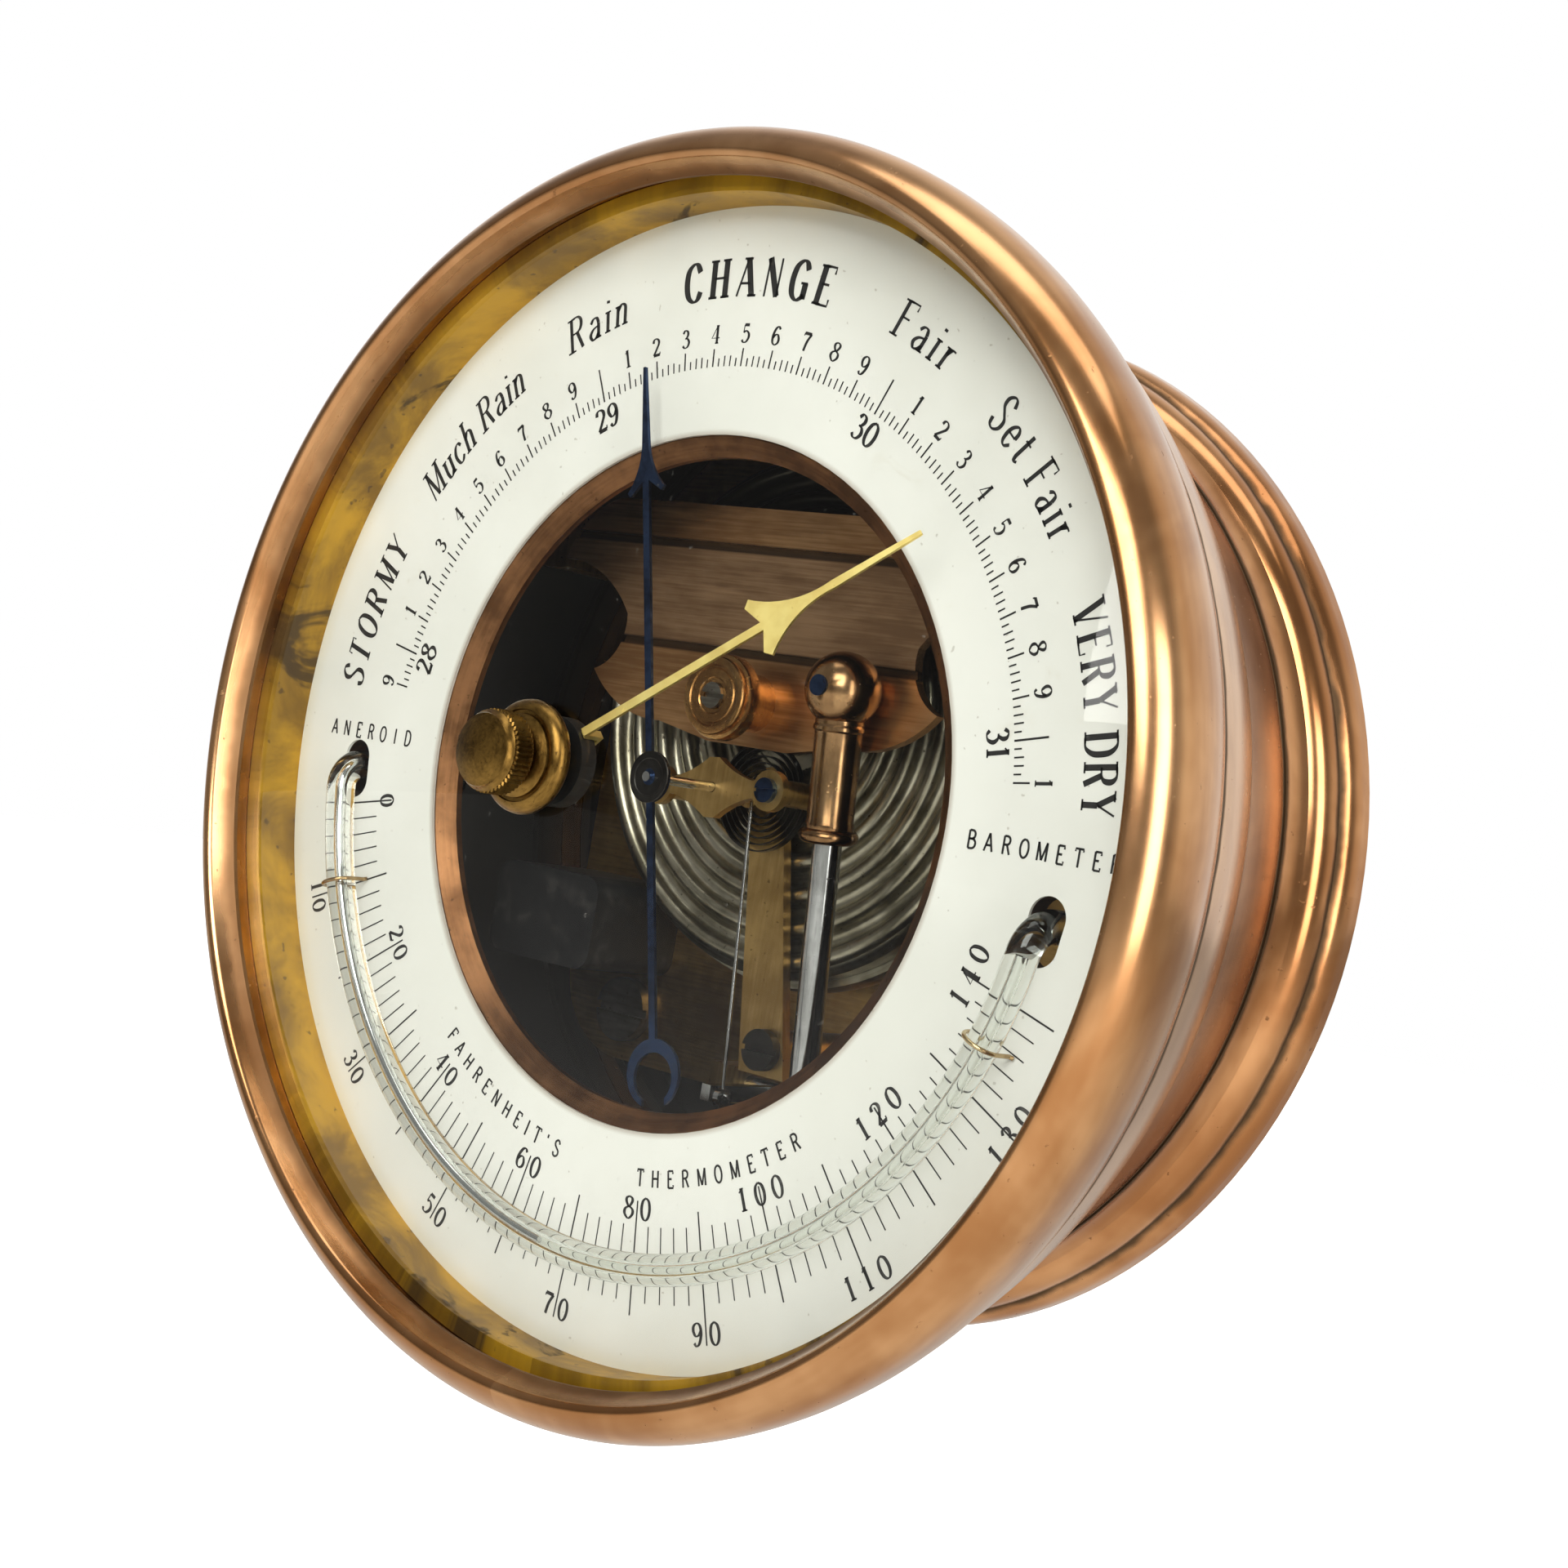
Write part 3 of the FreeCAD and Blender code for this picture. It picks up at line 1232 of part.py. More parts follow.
def set_hand():
    """The gold marker hand: cranked forward beside its hub, then sloping down to the dial."""
    drop = "(set_hand_crank_forward - set_hand_tip_forward)"
    slope = math.degrees(math.atan2(size(drop), size("set_hand_tip - set_hand_crank")))
    blade = spear("set_hand", "set_hand_crank", "0", "set_hand_thick")
    lift = size("set_hand_crank_forward - set_hand_root")
    tilt = FreeCAD.Rotation(Vector(1, 0, 0), -slope)
    pivot = Vector(0, size("set_hand_crank"), 0)
    blade.Placement = FreeCAD.Placement(pivot.add(Vector(0, 0, lift)).sub(tilt.multVec(pivot)), tilt)
    low, high = "set_hand_crank - set_hand_crank_half", "set_hand_crank + set_hand_crank_half"
    riser = slab("-set_hand_half", "set_hand_half", low, high, "0", "set_hand_crank_forward - set_hand_root")
    arm = slab("-set_hand_half", "set_hand_half", "0", high, "0", "set_hand_thick")
    hub = peg("set_hub_r", "0", "set_hand_thick")
    bore = peg("spindle_r", "-2", "2")
    turn = FreeCAD.Rotation(Vector(0, 0, 1), -size("set_hand_rest_deg"))
    node("set_hand", cut(joined(blade, riser, arm, hub), bore), forward="set_hand_root", turn=turn)


def set_knob():
    """The spindle through the glass, the bush and nut that hold it there, and the knurled knob."""
    node("glass_bush", turned([
        ("spindle_r + running_gap", "nut_base"), ("spindle_bush_r", "nut_base"),
        ("spindle_bush_r", "collar_base"),
        ("collar_r - 3 * edge", "collar_base"), ("collar_r", "collar_base + edge"),
        ("collar_r", "collar_base + 3 * edge"), ("collar_r - edge", "collar_base + 4 * edge", "edge"),
        ("collar_r - edge", "collar_top - 2 * edge"), ("collar_r - 4 * edge", "collar_top"),
        ("spindle_r + running_gap", "collar_top"),
    ]))
    node("glass_nut", turned([
        ("spindle_bush_r", "nut_base"), ("nut_r - edge", "nut_base"), ("nut_r", "nut_base + edge"),
        ("nut_r", "nut_top"), ("spindle_bush_r", "nut_top"),
    ]))
    node("set_spindle", peg("spindle_r", "spindle_base", "knob_base + knob_bore"), forward="spindle_base")
    knob = turned([
        ("spindle_r", "collar_top + running_gap"), ("knob_neck_r", "collar_top + running_gap"),
        ("knob_neck_r", "knob_base"), ("knob_r - edge", "knob_base"), ("knob_r", "knob_base + edge"),
        ("knob_r", "knob_front - knob_crown"), ("edge", "knob_front", "-knob_crown_r"),
        ("0", "knob_front"), ("0", "knob_base + knob_bore"),
        ("spindle_r", "knob_base + knob_bore"),
    ])
    node("set_knob", knob)


def adjuster():
    """The slotted screw at the back that sets the hand to the true reading."""
    body = joined(peg("adjuster_r", "adjuster_base", "adjuster_top", "0", "adjuster_up"),
                  peg("adjuster_head_r", "adjuster_base", "adjuster_base + adjuster_head", "0",
                      "adjuster_up"))
    slot = slab("-adjuster_head_r", "adjuster_head_r", "adjuster_up - edge", "adjuster_up + edge",
                "adjuster_base - overrun", "adjuster_base + slot_depth")
    node("adjuster", cut(body, slot))


PARTS = (
    back_cover, cover_screws, foot_ring, case_drum, case_moulding, bezel, liner_ring, glass,
    dial_plate, dial_card, thermometer, thermometer_clips, base_plate, base_fixings, movement_block, capsule,
    lever_plate, lever_bearings, lever_head, lever_rod, rocker, drive_link, hand_wire, arbor, arbor_frame,
    hairspring, indicating_hand, set_hand, set_knob, adjuster,
)
for make in PARTS:
    make()
doc.recompute()

for item in doc.Objects:
    bad = [word for word in item.State if word in ("Invalid", "Error")]
    if bad:
        raise RuntimeError(f"{item.Label} is {bad}")

os.makedirs("parts", exist_ok=True)
for item in nodes:
    if item.Shape.isNull() or not item.Shape.isValid():
        raise RuntimeError(f"{item.Label} has no valid shape")
    item.Shape.exportStep(f"parts/{item.Label}.step")
print(len(nodes), "sub-parts")
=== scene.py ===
import math

import bpy
import bmesh
from mathutils import Matrix, Vector


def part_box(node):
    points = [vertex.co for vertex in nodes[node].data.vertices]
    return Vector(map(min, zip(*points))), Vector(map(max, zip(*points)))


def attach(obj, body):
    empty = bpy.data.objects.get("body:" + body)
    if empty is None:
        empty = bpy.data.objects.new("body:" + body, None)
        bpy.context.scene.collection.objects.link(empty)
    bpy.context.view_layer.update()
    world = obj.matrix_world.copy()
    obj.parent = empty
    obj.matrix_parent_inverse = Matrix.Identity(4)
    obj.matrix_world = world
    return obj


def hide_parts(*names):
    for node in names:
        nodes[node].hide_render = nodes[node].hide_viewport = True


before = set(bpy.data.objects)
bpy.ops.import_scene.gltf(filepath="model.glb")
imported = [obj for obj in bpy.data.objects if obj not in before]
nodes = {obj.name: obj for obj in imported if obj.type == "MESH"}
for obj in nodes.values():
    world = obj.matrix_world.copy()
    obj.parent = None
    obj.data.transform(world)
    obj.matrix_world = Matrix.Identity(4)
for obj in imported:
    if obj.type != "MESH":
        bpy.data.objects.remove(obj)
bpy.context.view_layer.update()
MM = 0.001

# ------------------------------------------------------------ places read from the frame


def front_of(node):
    """The frontmost distance of a node from the wall, in millimetres."""
    return -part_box(node)[0].y / MM


def back_of(node):
    return -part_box(node)[1].y / MM


def radius_of(node):
    low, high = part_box(node)
    return (high.x - low.x) / 2 / MM


CARD = front_of("dial_card")

# ------------------------------------------------------------ node material helpers


class Nodes:
    """Short calls for building the nodes of one material, or of the world."""

    def __init__(self, name, world=None):
        self.owner = world or bpy.data.materials.new(name)
        self.owner.use_nodes = True
        self.tree = self.owner.node_tree
        self.tree.nodes.clear()

    def add(self, kind, inputs=(), **settings):
        item = self.tree.nodes.new(kind)
        for key, value in settings.items():
            setattr(item, key, value)
        for key, value in dict(inputs).items():
            self.feed(item, key, value)
        return item

    def feed(self, item, key, value):
        socket = item.inputs[key]
        if isinstance(value, bpy.types.NodeSocket):
            self.tree.links.new(value, socket)
        else:
            socket.default_value = value

    def math(self, operation, first, second=0.5, clamp=False):
        item = self.add("ShaderNodeMath", {0: first, 1: second}, operation=operation, use_clamp=clamp)
        return item.outputs[0]

    def ramp(self, value, low, high, smooth=True):
        """0 below low and 1 above high."""
        item = self.add("ShaderNodeMapRange", {"Value": value, "From Min": low, "From Max": high},
                        interpolation_type="SMOOTHSTEP" if smooth else "LINEAR")
        return item.outputs["Result"]

    def place(self):
        return self.add("ShaderNodeTexCoord").outputs["Object"]

    def noise(self, vector, scale, detail=3.0, rough=0.55, distortion=0.0):
        item = self.add("ShaderNodeTexNoise", {"Vector": vector, "Scale": scale, "Detail": detail,
                                               "Roughness": rough, "Distortion": distortion})
        return item.outputs["Fac"]

    def mix(self, factor, first, second):
        item = self.add("ShaderNodeMix", data_type="RGBA")
        self.feed(item, 0, factor)
        self.feed(item, 6, first)
        self.feed(item, 7, second)
        return item.outputs[2]

    def blend(self, factor, first, second):
        item = self.add("ShaderNodeMix", {0: factor, 2: first, 3: second}, data_type="FLOAT")
        return item.outputs[0]

    def bump(self, height, distance, strength=1.0, normal=None):
        item = self.add("ShaderNodeBump", {"Height": height, "Distance": distance, "Strength": strength})
        if normal is not None:
            self.feed(item, "Normal", normal)
        return item.outputs[0]

    def vector(self, x, y, z):
        return self.add("ShaderNodeCombineXYZ", {0: x, 1: y, 2: z}).outputs[0]

    def split(self, vector):
        return self.add("ShaderNodeSeparateXYZ", {0: vector}).outputs

    def scaled(self, values, factors):
        """A vector of three values, each times its own factor."""
        return self.vector(*(self.math("MULTIPLY", value, factor) for value, factor in zip(values, factors)))

    def weighed(self, first, second, share):
        """Two values added together, the first with a share and the second with the rest."""
        return self.math("ADD", self.math("MULTIPLY", first, share), self.math("MULTIPLY", second, 1 - share))

    def less(self, value):
        """One minus a value."""
        return self.math("SUBTRACT", 1.0, value)

    def turned(self, vector, centre_up=0.0):
        """(radius, depth, angle) about the forward axis."""
        x, y, z = self.split(vector)
        z = self.math("SUBTRACT", z, centre_up)
        square = self.math("ADD", self.math("MULTIPLY", x, x), self.math("MULTIPLY", z, z))
        return self.math("SQRT", square), y, self.math("ARCTAN2", x, z)

    def principled(self, **inputs):
        shader = self.add("ShaderNodeBsdfPrincipled")
        for key, value in inputs.items():
            self.feed(shader, key.replace("_", " "), value)
        return shader.outputs[0]

    def finish(self, shader):
        self.add("ShaderNodeOutputMaterial", {"Surface": shader})
        return self.owner


def rgb(red, green, blue):
    """A colour given as 0-255 on screen, for a node."""
    return tuple((c / 255 / 12.92) if c / 255 <= 0.04045 else ((c / 255 + 0.055) / 1.055) ** 2.4
                 for c in (red, green, blue)) + (1.0,)


def case_metal(name, light, dark, seams=(), rough=0.17, pits=0.0, inside=None, darker_within_r=None):
    """Polished, aged brass that was turned on a lathe. Seams are distances from the wall that hold dirt, and
    the metal is painted near-black and matte as painted shade inside a radius that grows forward, given as
    lines of (radius, growth), between two distances from the wall."""
    m = Nodes(name)
    place = m.place()
    radius, depth, angle = m.turned(place)
    turning = m.noise(m.scaled((radius, depth, angle), (2600, 2600, 1.6)), 1.0, 2)
    cloud = m.noise(place, 38, 4, 0.6, 0.4)
    streak = m.noise(m.scaled((radius, depth, angle), (160, 160, 2.2)), 1.0, 3)
    color = m.mix(m.ramp(m.weighed(cloud, streak, 0.6), 0.38, 0.66), dark, light)
    speck = m.ramp(m.noise(place, 900, 2), 0.70, 0.78)
    color = m.mix(m.math("MULTIPLY", speck, 0.35 + pits), color, rgb(70, 45, 28))
    roughness = m.blend(cloud, rough * 0.75, rough * 1.35)
    roughness = m.math("ADD", roughness, m.math("MULTIPLY", speck, 0.2))
    ragged = m.math("MULTIPLY", m.math("SUBTRACT", m.noise(place, 160, 3), 0.5), 0.0011)
    for seam in seams:
        away = m.math("ABSOLUTE", m.math("ADD", m.math("ADD", depth, seam * MM), ragged))
        dirt = m.less(m.ramp(away, 0.0002, 0.0010))
        color = m.mix(m.math("MULTIPLY", dirt, 0.85), color, rgb(52, 48, 38))
        roughness = m.math("ADD", roughness, m.math("MULTIPLY", dirt, 0.45))
    # Darker and rougher within the given radius, towards the inner lip.
    if darker_within_r:
        inner_darkening = m.less(m.ramp(m.math("ADD", radius, ragged), darker_within_r * MM, (darker_within_r + 1.2) * MM))
        color = m.mix(m.math("MULTIPLY", inner_darkening, 0.6), color, rgb(70, 48, 30))
        roughness = m.math("ADD", roughness, m.math("MULTIPLY", inner_darkening, 0.3))
    metallic = 1.0
    # Painted shade: inside the given radius the metal is painted near-black, matte and not metallic.
    if inside:
        lines, lowest, highest = inside
        reach = [m.math("ADD", m.math("MULTIPLY", depth, -growth), start * MM) for start, growth in lines]
        painted_inner_shade = m.math("LESS_THAN", radius, m.math("MAXIMUM", *reach))
        painted_inner_shade = m.math("MULTIPLY", painted_inner_shade, m.math("GREATER_THAN", depth, -highest * MM))
        painted_inner_shade = m.math("MULTIPLY", painted_inner_shade, m.math("LESS_THAN", depth, -lowest * MM))
        color = m.mix(painted_inner_shade, color, rgb(20, 19, 18))
        metallic = m.less(painted_inner_shade)
        roughness = m.math("MAXIMUM", roughness, m.math("MULTIPLY", painted_inner_shade, 0.6))
    height = m.math("ADD", m.math("MULTIPLY", turning, 0.6), m.math("MULTIPLY", speck, -0.8 - 2 * pits))
    normal = m.bump(height, 0.000012, 0.55)
    normal = m.bump(m.noise(place, 55, 2), 0.00006, 0.3, normal)
    return m.finish(m.principled(Base_Color=color, Metallic=metallic, Roughness=roughness, Normal=normal))


def plain_metal(name, light, dark, rough=0.25, grain=(1, 1, 1), grain_scale=900, centre_up=None, pit=0.3,
                depth_mm=0.01, painted_shade_up=None):
    """Small movement metal with brushing along one direction, or round an axis if centre_up is given, and
    with painted shade darkening it from a given height upwards.
    """
    m = Nodes(name)
    place = m.place()
    if centre_up is None:
        along = m.scaled(m.split(place), grain)
    else:
        radius, depth, angle = m.turned(place, centre_up * MM)
        along = m.vector(radius, depth, m.math("MULTIPLY", angle, 0.002))
    brushing = m.noise(along, grain_scale, 3, 0.6)
    cloud = m.noise(place, 120, 4, 0.6)
    color = m.mix(m.ramp(m.weighed(cloud, brushing, 0.7), 0.36, 0.64), dark, light)
    # Painted shade: the metal turns near-black from the given height upwards, standing in for the shade under
    # the dial card.
    if painted_shade_up:
        high = m.math("ADD", m.split(place)[2], m.math("MULTIPLY", m.math("SUBTRACT", cloud, 0.5), 0.01))
        painted_top_shade = m.math("MULTIPLY", m.ramp(high, painted_shade_up * MM, (painted_shade_up + 5) * MM), 0.9)
        color = m.mix(painted_top_shade, color, rgb(22, 20, 18))
    spot = m.ramp(m.noise(place, 1500, 1), 0.71, 0.76)
    color = m.mix(m.math("MULTIPLY", spot, pit), color, rgb(48, 36, 24))
    roughness = m.math("ADD", m.blend(brushing, rough * 0.8, rough * 1.3), m.math("MULTIPLY", spot, 0.25))
    normal = m.bump(brushing, depth_mm * MM, 0.7)
    return m.finish(m.principled(Base_Color=color, Metallic=1.0, Roughness=roughness, Normal=normal))


def liner_metal():
    """The yellow inner wall, lacquered brass with dark tarnished patches and small spots."""
    m = Nodes("liner_brass")
    place = m.place()
    depth, angle = m.turned(place)[1:]
    around = m.math("MULTIPLY", angle, 0.07)
    cloud = m.noise(m.vector(around, depth, 0.0), 60, 5, 0.62, 0.6)
    color = m.mix(m.ramp(cloud, 0.36, 0.66), rgb(126, 92, 18), rgb(196, 150, 30))
    stain = m.ramp(m.noise(m.vector(around, depth, 3.0), 42, 5, 0.6, 1.2), 0.60, 0.66)
    color = m.mix(m.math("MULTIPLY", stain, 0.85), color, rgb(54, 37, 14))
    lines = m.noise(m.vector(m.math("MULTIPLY", angle, 0.004), depth, 0.0), 2400, 2)
    spots = m.ramp(m.noise(place, 520, 2), 0.69, 0.74)
    color = m.mix(m.math("MULTIPLY", spots, 0.6), color, rgb(60, 40, 20))
    roughness = m.math("ADD", m.blend(cloud, 0.40, 0.58), m.math("MULTIPLY", stain, 0.2))
    normal = m.bump(m.math("ADD", lines, m.math("MULTIPLY", spots, -0.7)), 0.00002, 0.7)
    return m.finish(m.principled(Base_Color=color, Metallic=0.5, Roughness=roughness, Normal=normal))


def card_paint():
    """Printed white card, a little stained and dusty, with a faint tooth."""
    m = Nodes("dial_card")
    place = m.place()
    radius = m.turned(place)[0]
    cloud = m.noise(place, 26, 4, 0.6)
    color = m.mix(m.ramp(cloud, 0.35, 0.7), rgb(218, 218, 212), rgb(228, 228, 223))
    blot = m.ramp(m.noise(place, 90, 5, 0.7, 0.8), 0.64, 0.78)
    color = m.mix(m.math("MULTIPLY", blot, 0.35), color, rgb(196, 188, 168))
    speck = m.ramp(m.noise(place, 1300, 1), 0.76, 0.80)
    color = m.mix(m.math("MULTIPLY", speck, 0.35), color, rgb(120, 105, 80))
    edge = m.ramp(radius, 0.0672, 0.0701)
    color = m.mix(m.math("MULTIPLY", edge, 0.35), color, rgb(200, 188, 150))
    inner = m.less(m.ramp(radius, 0.0420, 0.0428))
    color = m.mix(m.math("MULTIPLY", inner, 0.45), color, rgb(120, 92, 60))
    normal = m.bump(m.noise(place, 2200, 2), 0.00001, 0.5)
    return m.finish(m.principled(Base_Color=color, Roughness=0.55, Specular_IOR_Level=0.35, Normal=normal))


def ink():
    m = Nodes("dial_ink")
    worn = m.noise(m.place(), 420, 4, 0.7)
    color = m.mix(m.ramp(worn, 0.56, 0.82), rgb(22, 21, 22), rgb(84, 82, 80))
    return m.finish(m.principled(Base_Color=color, Roughness=0.6))


def clear_glass(name, tint, reflect=1.0, wave=0.00002):
    """Thin clear glass: light goes straight through, and its surface reflects more at a grazing view."""
    m = Nodes(name)
    place = m.place()
    normal = m.bump(m.noise(place, 28, 2), wave, 0.3)
    dust = m.ramp(m.noise(place, 800, 2), 0.72, 0.80)
    fresnel = m.add("ShaderNodeFresnel", {"IOR": 1.5, "Normal": normal}).outputs[0]
    gloss = m.add("ShaderNodeBsdfGlossy", {"Color": (1, 1, 1, 1), "Roughness": 0.02,
                                           "Normal": normal}).outputs[0]
    clear = m.add("ShaderNodeBsdfTransparent", {"Color": tint}).outputs[0]
    haze = m.add("ShaderNodeBsdfDiffuse", {"Color": (0.8, 0.78, 0.72, 1)}).outputs[0]
    body = m.add("ShaderNodeMixShader", {0: m.math("MULTIPLY", dust, 0.05), 1: clear, 2: haze}).outputs[0]
    outside = m.less(m.add("ShaderNodeNewGeometry").outputs["Backfacing"])
    share = m.math("MULTIPLY", m.math("MULTIPLY", fresnel, outside), reflect, clamp=True)
    return m.finish(m.add("ShaderNodeMixShader", {0: share, 1: body, 2: gloss}).outputs[0])


def rod_glass():
    """The thermometer's glass, which bends what is seen through it but lets the light through to the card."""
    m = Nodes("rod_glass")
    normal = m.bump(m.noise(m.place(), 300, 2), 0.00001, 0.2)
    glass = m.add("ShaderNodeBsdfGlass", {"Color": (0.97, 0.98, 0.97, 1), "Roughness": 0.0, "IOR": 1.5,
                                          "Normal": normal}).outputs[0]
    clear = m.add("ShaderNodeBsdfTransparent", {"Color": (0.94, 0.94, 0.93, 1)}).outputs[0]
    ray = m.add("ShaderNodeLightPath").outputs
    lighting = m.math("MAXIMUM", ray["Is Shadow Ray"], ray["Is Diffuse Ray"])
    return m.finish(m.add("ShaderNodeMixShader", {0: lighting, 1: glass, 2: clear}).outputs[0])


def painted(name, color, worn, rough):
    """Japanned or blackened metal with dusty, worn patches."""
    m = Nodes(name)
    place = m.place()
    cloud = m.noise(place, 260, 4, 0.65)
    mixed = m.mix(m.ramp(cloud, 0.5, 0.75), color, worn)
    normal = m.bump(m.noise(place, 1500, 2), 0.00002, 0.5)
    roughness = m.blend(cloud, rough * 0.8, rough * 1.3)
    return m.finish(m.principled(Base_Color=mixed, Roughness=roughness, Normal=normal))


LEVER_GROOVES = (17.0, 30.0)


def lever_bronze():
    """The lever's brushed bronze in three bands, the middle one duller, with painted shade in its two
    grooves.
    """
    m = Nodes("lever_bronze")
    place = m.place()
    x, y, z = m.split(place)
    brushing = m.noise(m.vector(m.math("MULTIPLY", x, 0.03), y, z), 2600, 3, 0.6)
    cloud = m.noise(m.vector(m.math("MULTIPLY", x, 0.4), y, z), 150, 4, 0.6)
    low, high = (up * MM for up in LEVER_GROOVES)
    middle = m.math("MULTIPLY", m.ramp(z, low - 0.2 * MM, low + 0.2 * MM),
                    m.less(m.ramp(z, high - 0.2 * MM, high + 0.2 * MM)))
    light = m.mix(middle, rgb(198, 152, 106), rgb(176, 140, 106))
    shade = m.mix(middle, rgb(152, 110, 72), rgb(136, 104, 76))
    color = m.mix(m.ramp(m.weighed(cloud, brushing, 0.6), 0.36, 0.64), shade, light)
    # Painted shade: a dark line along each of the two grooves.
    for up in (low, high):
        line = m.less(m.ramp(m.math("ABSOLUTE", m.math("SUBTRACT", z, up)), 0.0004, 0.0008))
        color = m.mix(m.math("MULTIPLY", line, 0.85), color, rgb(52, 40, 30))
    roughness = m.math("ADD", m.blend(brushing, 0.27, 0.42), m.math("MULTIPLY", middle, 0.08))
    return m.finish(m.principled(Base_Color=color, Metallic=1.0, Roughness=roughness,
                                 Normal=m.bump(brushing, 0.000014, 0.7)))


COPPER, COPPER_DARK = rgb(206, 160, 114), rgb(160, 112, 70)
RIM, RIM_DARK = rgb(202, 152, 106), rgb(154, 104, 64)

materials = {
    # The bezel is darker within 71 mm, towards its inner lip.
    "bezel": case_metal("bezel_brass", COPPER, COPPER_DARK, (back_of("bezel"),), 0.19, darker_within_r=71.0),
    # The moulding's paler, greyer brass is a painted reflection of the bright room at a grazing view.
    "case_moulding": case_metal("moulding_brass", rgb(206, 166, 126), rgb(168, 126, 88),
                                (front_of("case_moulding"), back_of("case_moulding")), 0.20),
    # The drum is painted near-black inside its inner cone, as painted shade.
    "case_drum": case_metal("drum_brass", rgb(188, 146, 106), rgb(142, 102, 68),
                            (front_of("foot_ring"), back_of("case_moulding")), 0.21, 0.1,
                            (((58.7, 0.216), (53.06, 0.392)), -1.0, 46.0)),
    "foot_ring": case_metal("foot_brass", RIM, RIM_DARK, (front_of("foot_ring"), back_of("foot_ring")), 0.18,
                            0.15),
    # The back cover is painted near-black inside 60 mm, as painted shade.
    "back_cover": case_metal("rim_brass", RIM, RIM_DARK, (back_of("foot_ring"),), 0.19, 0.1,
                             (((60.0, 0.0), (0.0, 0.0)), 1.0, 46.0)),
    "liner_ring": liner_metal(),
    "dial_card": card_paint(),
    "dial_plate": plain_metal("dial_plate_brass", rgb(134, 94, 62), rgb(84, 56, 34), 0.4, centre_up=0.0,
                              grain_scale=1500),
    "glass": clear_glass("case_glass", (0.97, 0.98, 0.97, 1), 0.5),
    "thermometer_tube": rod_glass(),
    "mercury": plain_metal("mercury", rgb(225, 226, 228), rgb(205, 206, 208), 0.08, pit=0.0),
    "thermometer_clips": plain_metal("clip_wire", rgb(206, 184, 140), rgb(150, 122, 82), 0.22),
    "movement_plate": plain_metal("movement_plate_brass", rgb(196, 156, 92), rgb(146, 108, 58), 0.33,
                                  (0.05, 1, 1.0), 2600, depth_mm=0.02),
    "lever_plate": lever_bronze(),
    "movement_block": painted("japan_black", rgb(24, 24, 26), rgb(58, 56, 54), 0.45),
    "glass_nut": painted("black_nut", rgb(20, 20, 21), rgb(46, 44, 42), 0.4),
}
ALONG_UP = (1, 1, 0.05)
# The capsule's metal is painted darker from 31 mm up, as painted shade under the dial card.
CAPSULE = plain_metal("capsule_silver", rgb(178, 172, 154), rgb(118, 112, 94), 0.3, centre_up=11.0,
                      grain_scale=1800, pit=0.6, depth_mm=0.012, painted_shade_up=31.0)
SMALL_BRASS = plain_metal("movement_brass", rgb(190, 156, 98), rgb(152, 120, 70), 0.34, ALONG_UP, 1800,
                          pit=0.5, depth_mm=0.004)
BOSS_BRASS = plain_metal("boss_brass", rgb(188, 146, 92), rgb(140, 100, 58), 0.24, centre_up=11.0,
                         grain_scale=2600)
BALL_BRASS = plain_metal("ball_brass", rgb(174, 138, 98), rgb(122, 90, 60), 0.2, (1, 1, 0.1), 900,
                         depth_mm=0.004)
POLISHED = plain_metal("rod_steel", rgb(196, 197, 198), rgb(150, 150, 150), 0.16, ALONG_UP, 1500, pit=0.5)
SLOT_STEEL = plain_metal("screw_steel", rgb(150, 146, 138), rgb(104, 98, 88), 0.34, (0.1, 1, 1), 2000,
                         pit=0.5)
BLUED = plain_metal("blued_steel", rgb(52, 70, 104), rgb(30, 42, 66), 0.32, pit=0.4)
BLACK_STEEL = plain_metal("spring_steel", rgb(60, 58, 56), rgb(34, 32, 30), 0.35)
GILT = plain_metal("gilt", rgb(246, 226, 146), rgb(232, 204, 120), 0.4, grain_scale=500, pit=0.1,
                   depth_mm=0.003)
KNOB_BRASS = plain_metal("knob_brass", rgb(144, 112, 56), rgb(86, 64, 28), 0.28, centre_up=0.0,
                         grain_scale=2600, pit=0.4)
for names, material in (
    (("capsule_front", "capsule_back", "capsule_band"), CAPSULE),
    (("capsule_foot", "trunnions", "rocker_posts", "arbor_bridge", "bridge_post", "cock_pillars",
      "arbor_cock", "chain_drum", "hairspring_collet", "base_pillars"), SMALL_BRASS),
    (("lever_boss",), BOSS_BRASS),
    (("ball_head",), BALL_BRASS),
    (("lever_rod", "capsule_post", "lever_axle", "hand_arbor", "rocker", "hand_wire", "drive_link",
      "set_spindle"), POLISHED),
    (("cover_screws", "base_screws", "pivot_screws", "boss_screw", "adjuster"), SLOT_STEEL),
    (("ball_stud", "cock_screws", "indicating_hand"), BLUED),
    (("hairspring", "capsule_spring", "bridge_screw"), BLACK_STEEL),
    (("set_hand",), GILT),
    (("glass_bush", "set_knob"), KNOB_BRASS),
):
    for name in names:
        materials[name] = material
for name, piece in nodes.items():
    piece.data.materials.clear()
    piece.data.materials.append(materials[name])


# ------------------------------------------------------------ mesh helpers


def new_piece(name, vertices, faces, material, body, smooth=True):
    """A mesh piece, its vertices in millimetres as (right, up, forward)."""
    mesh = bpy.data.meshes.new(name)
    mesh.from_pydata([(x * MM, -forward * MM, up * MM) for x, up, forward in vertices], [], faces)
    mesh.validate()
    if smooth:
        mesh.shade_smooth()
    mesh.materials.append(material)
    piece = bpy.data.objects.new(name, mesh)
    bpy.context.scene.collection.objects.link(piece)
    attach(piece, body)
    return piece


def polar(radius, degrees):
    angle = math.radians(degrees)
    return radius * math.sin(angle), radius * math.cos(angle)


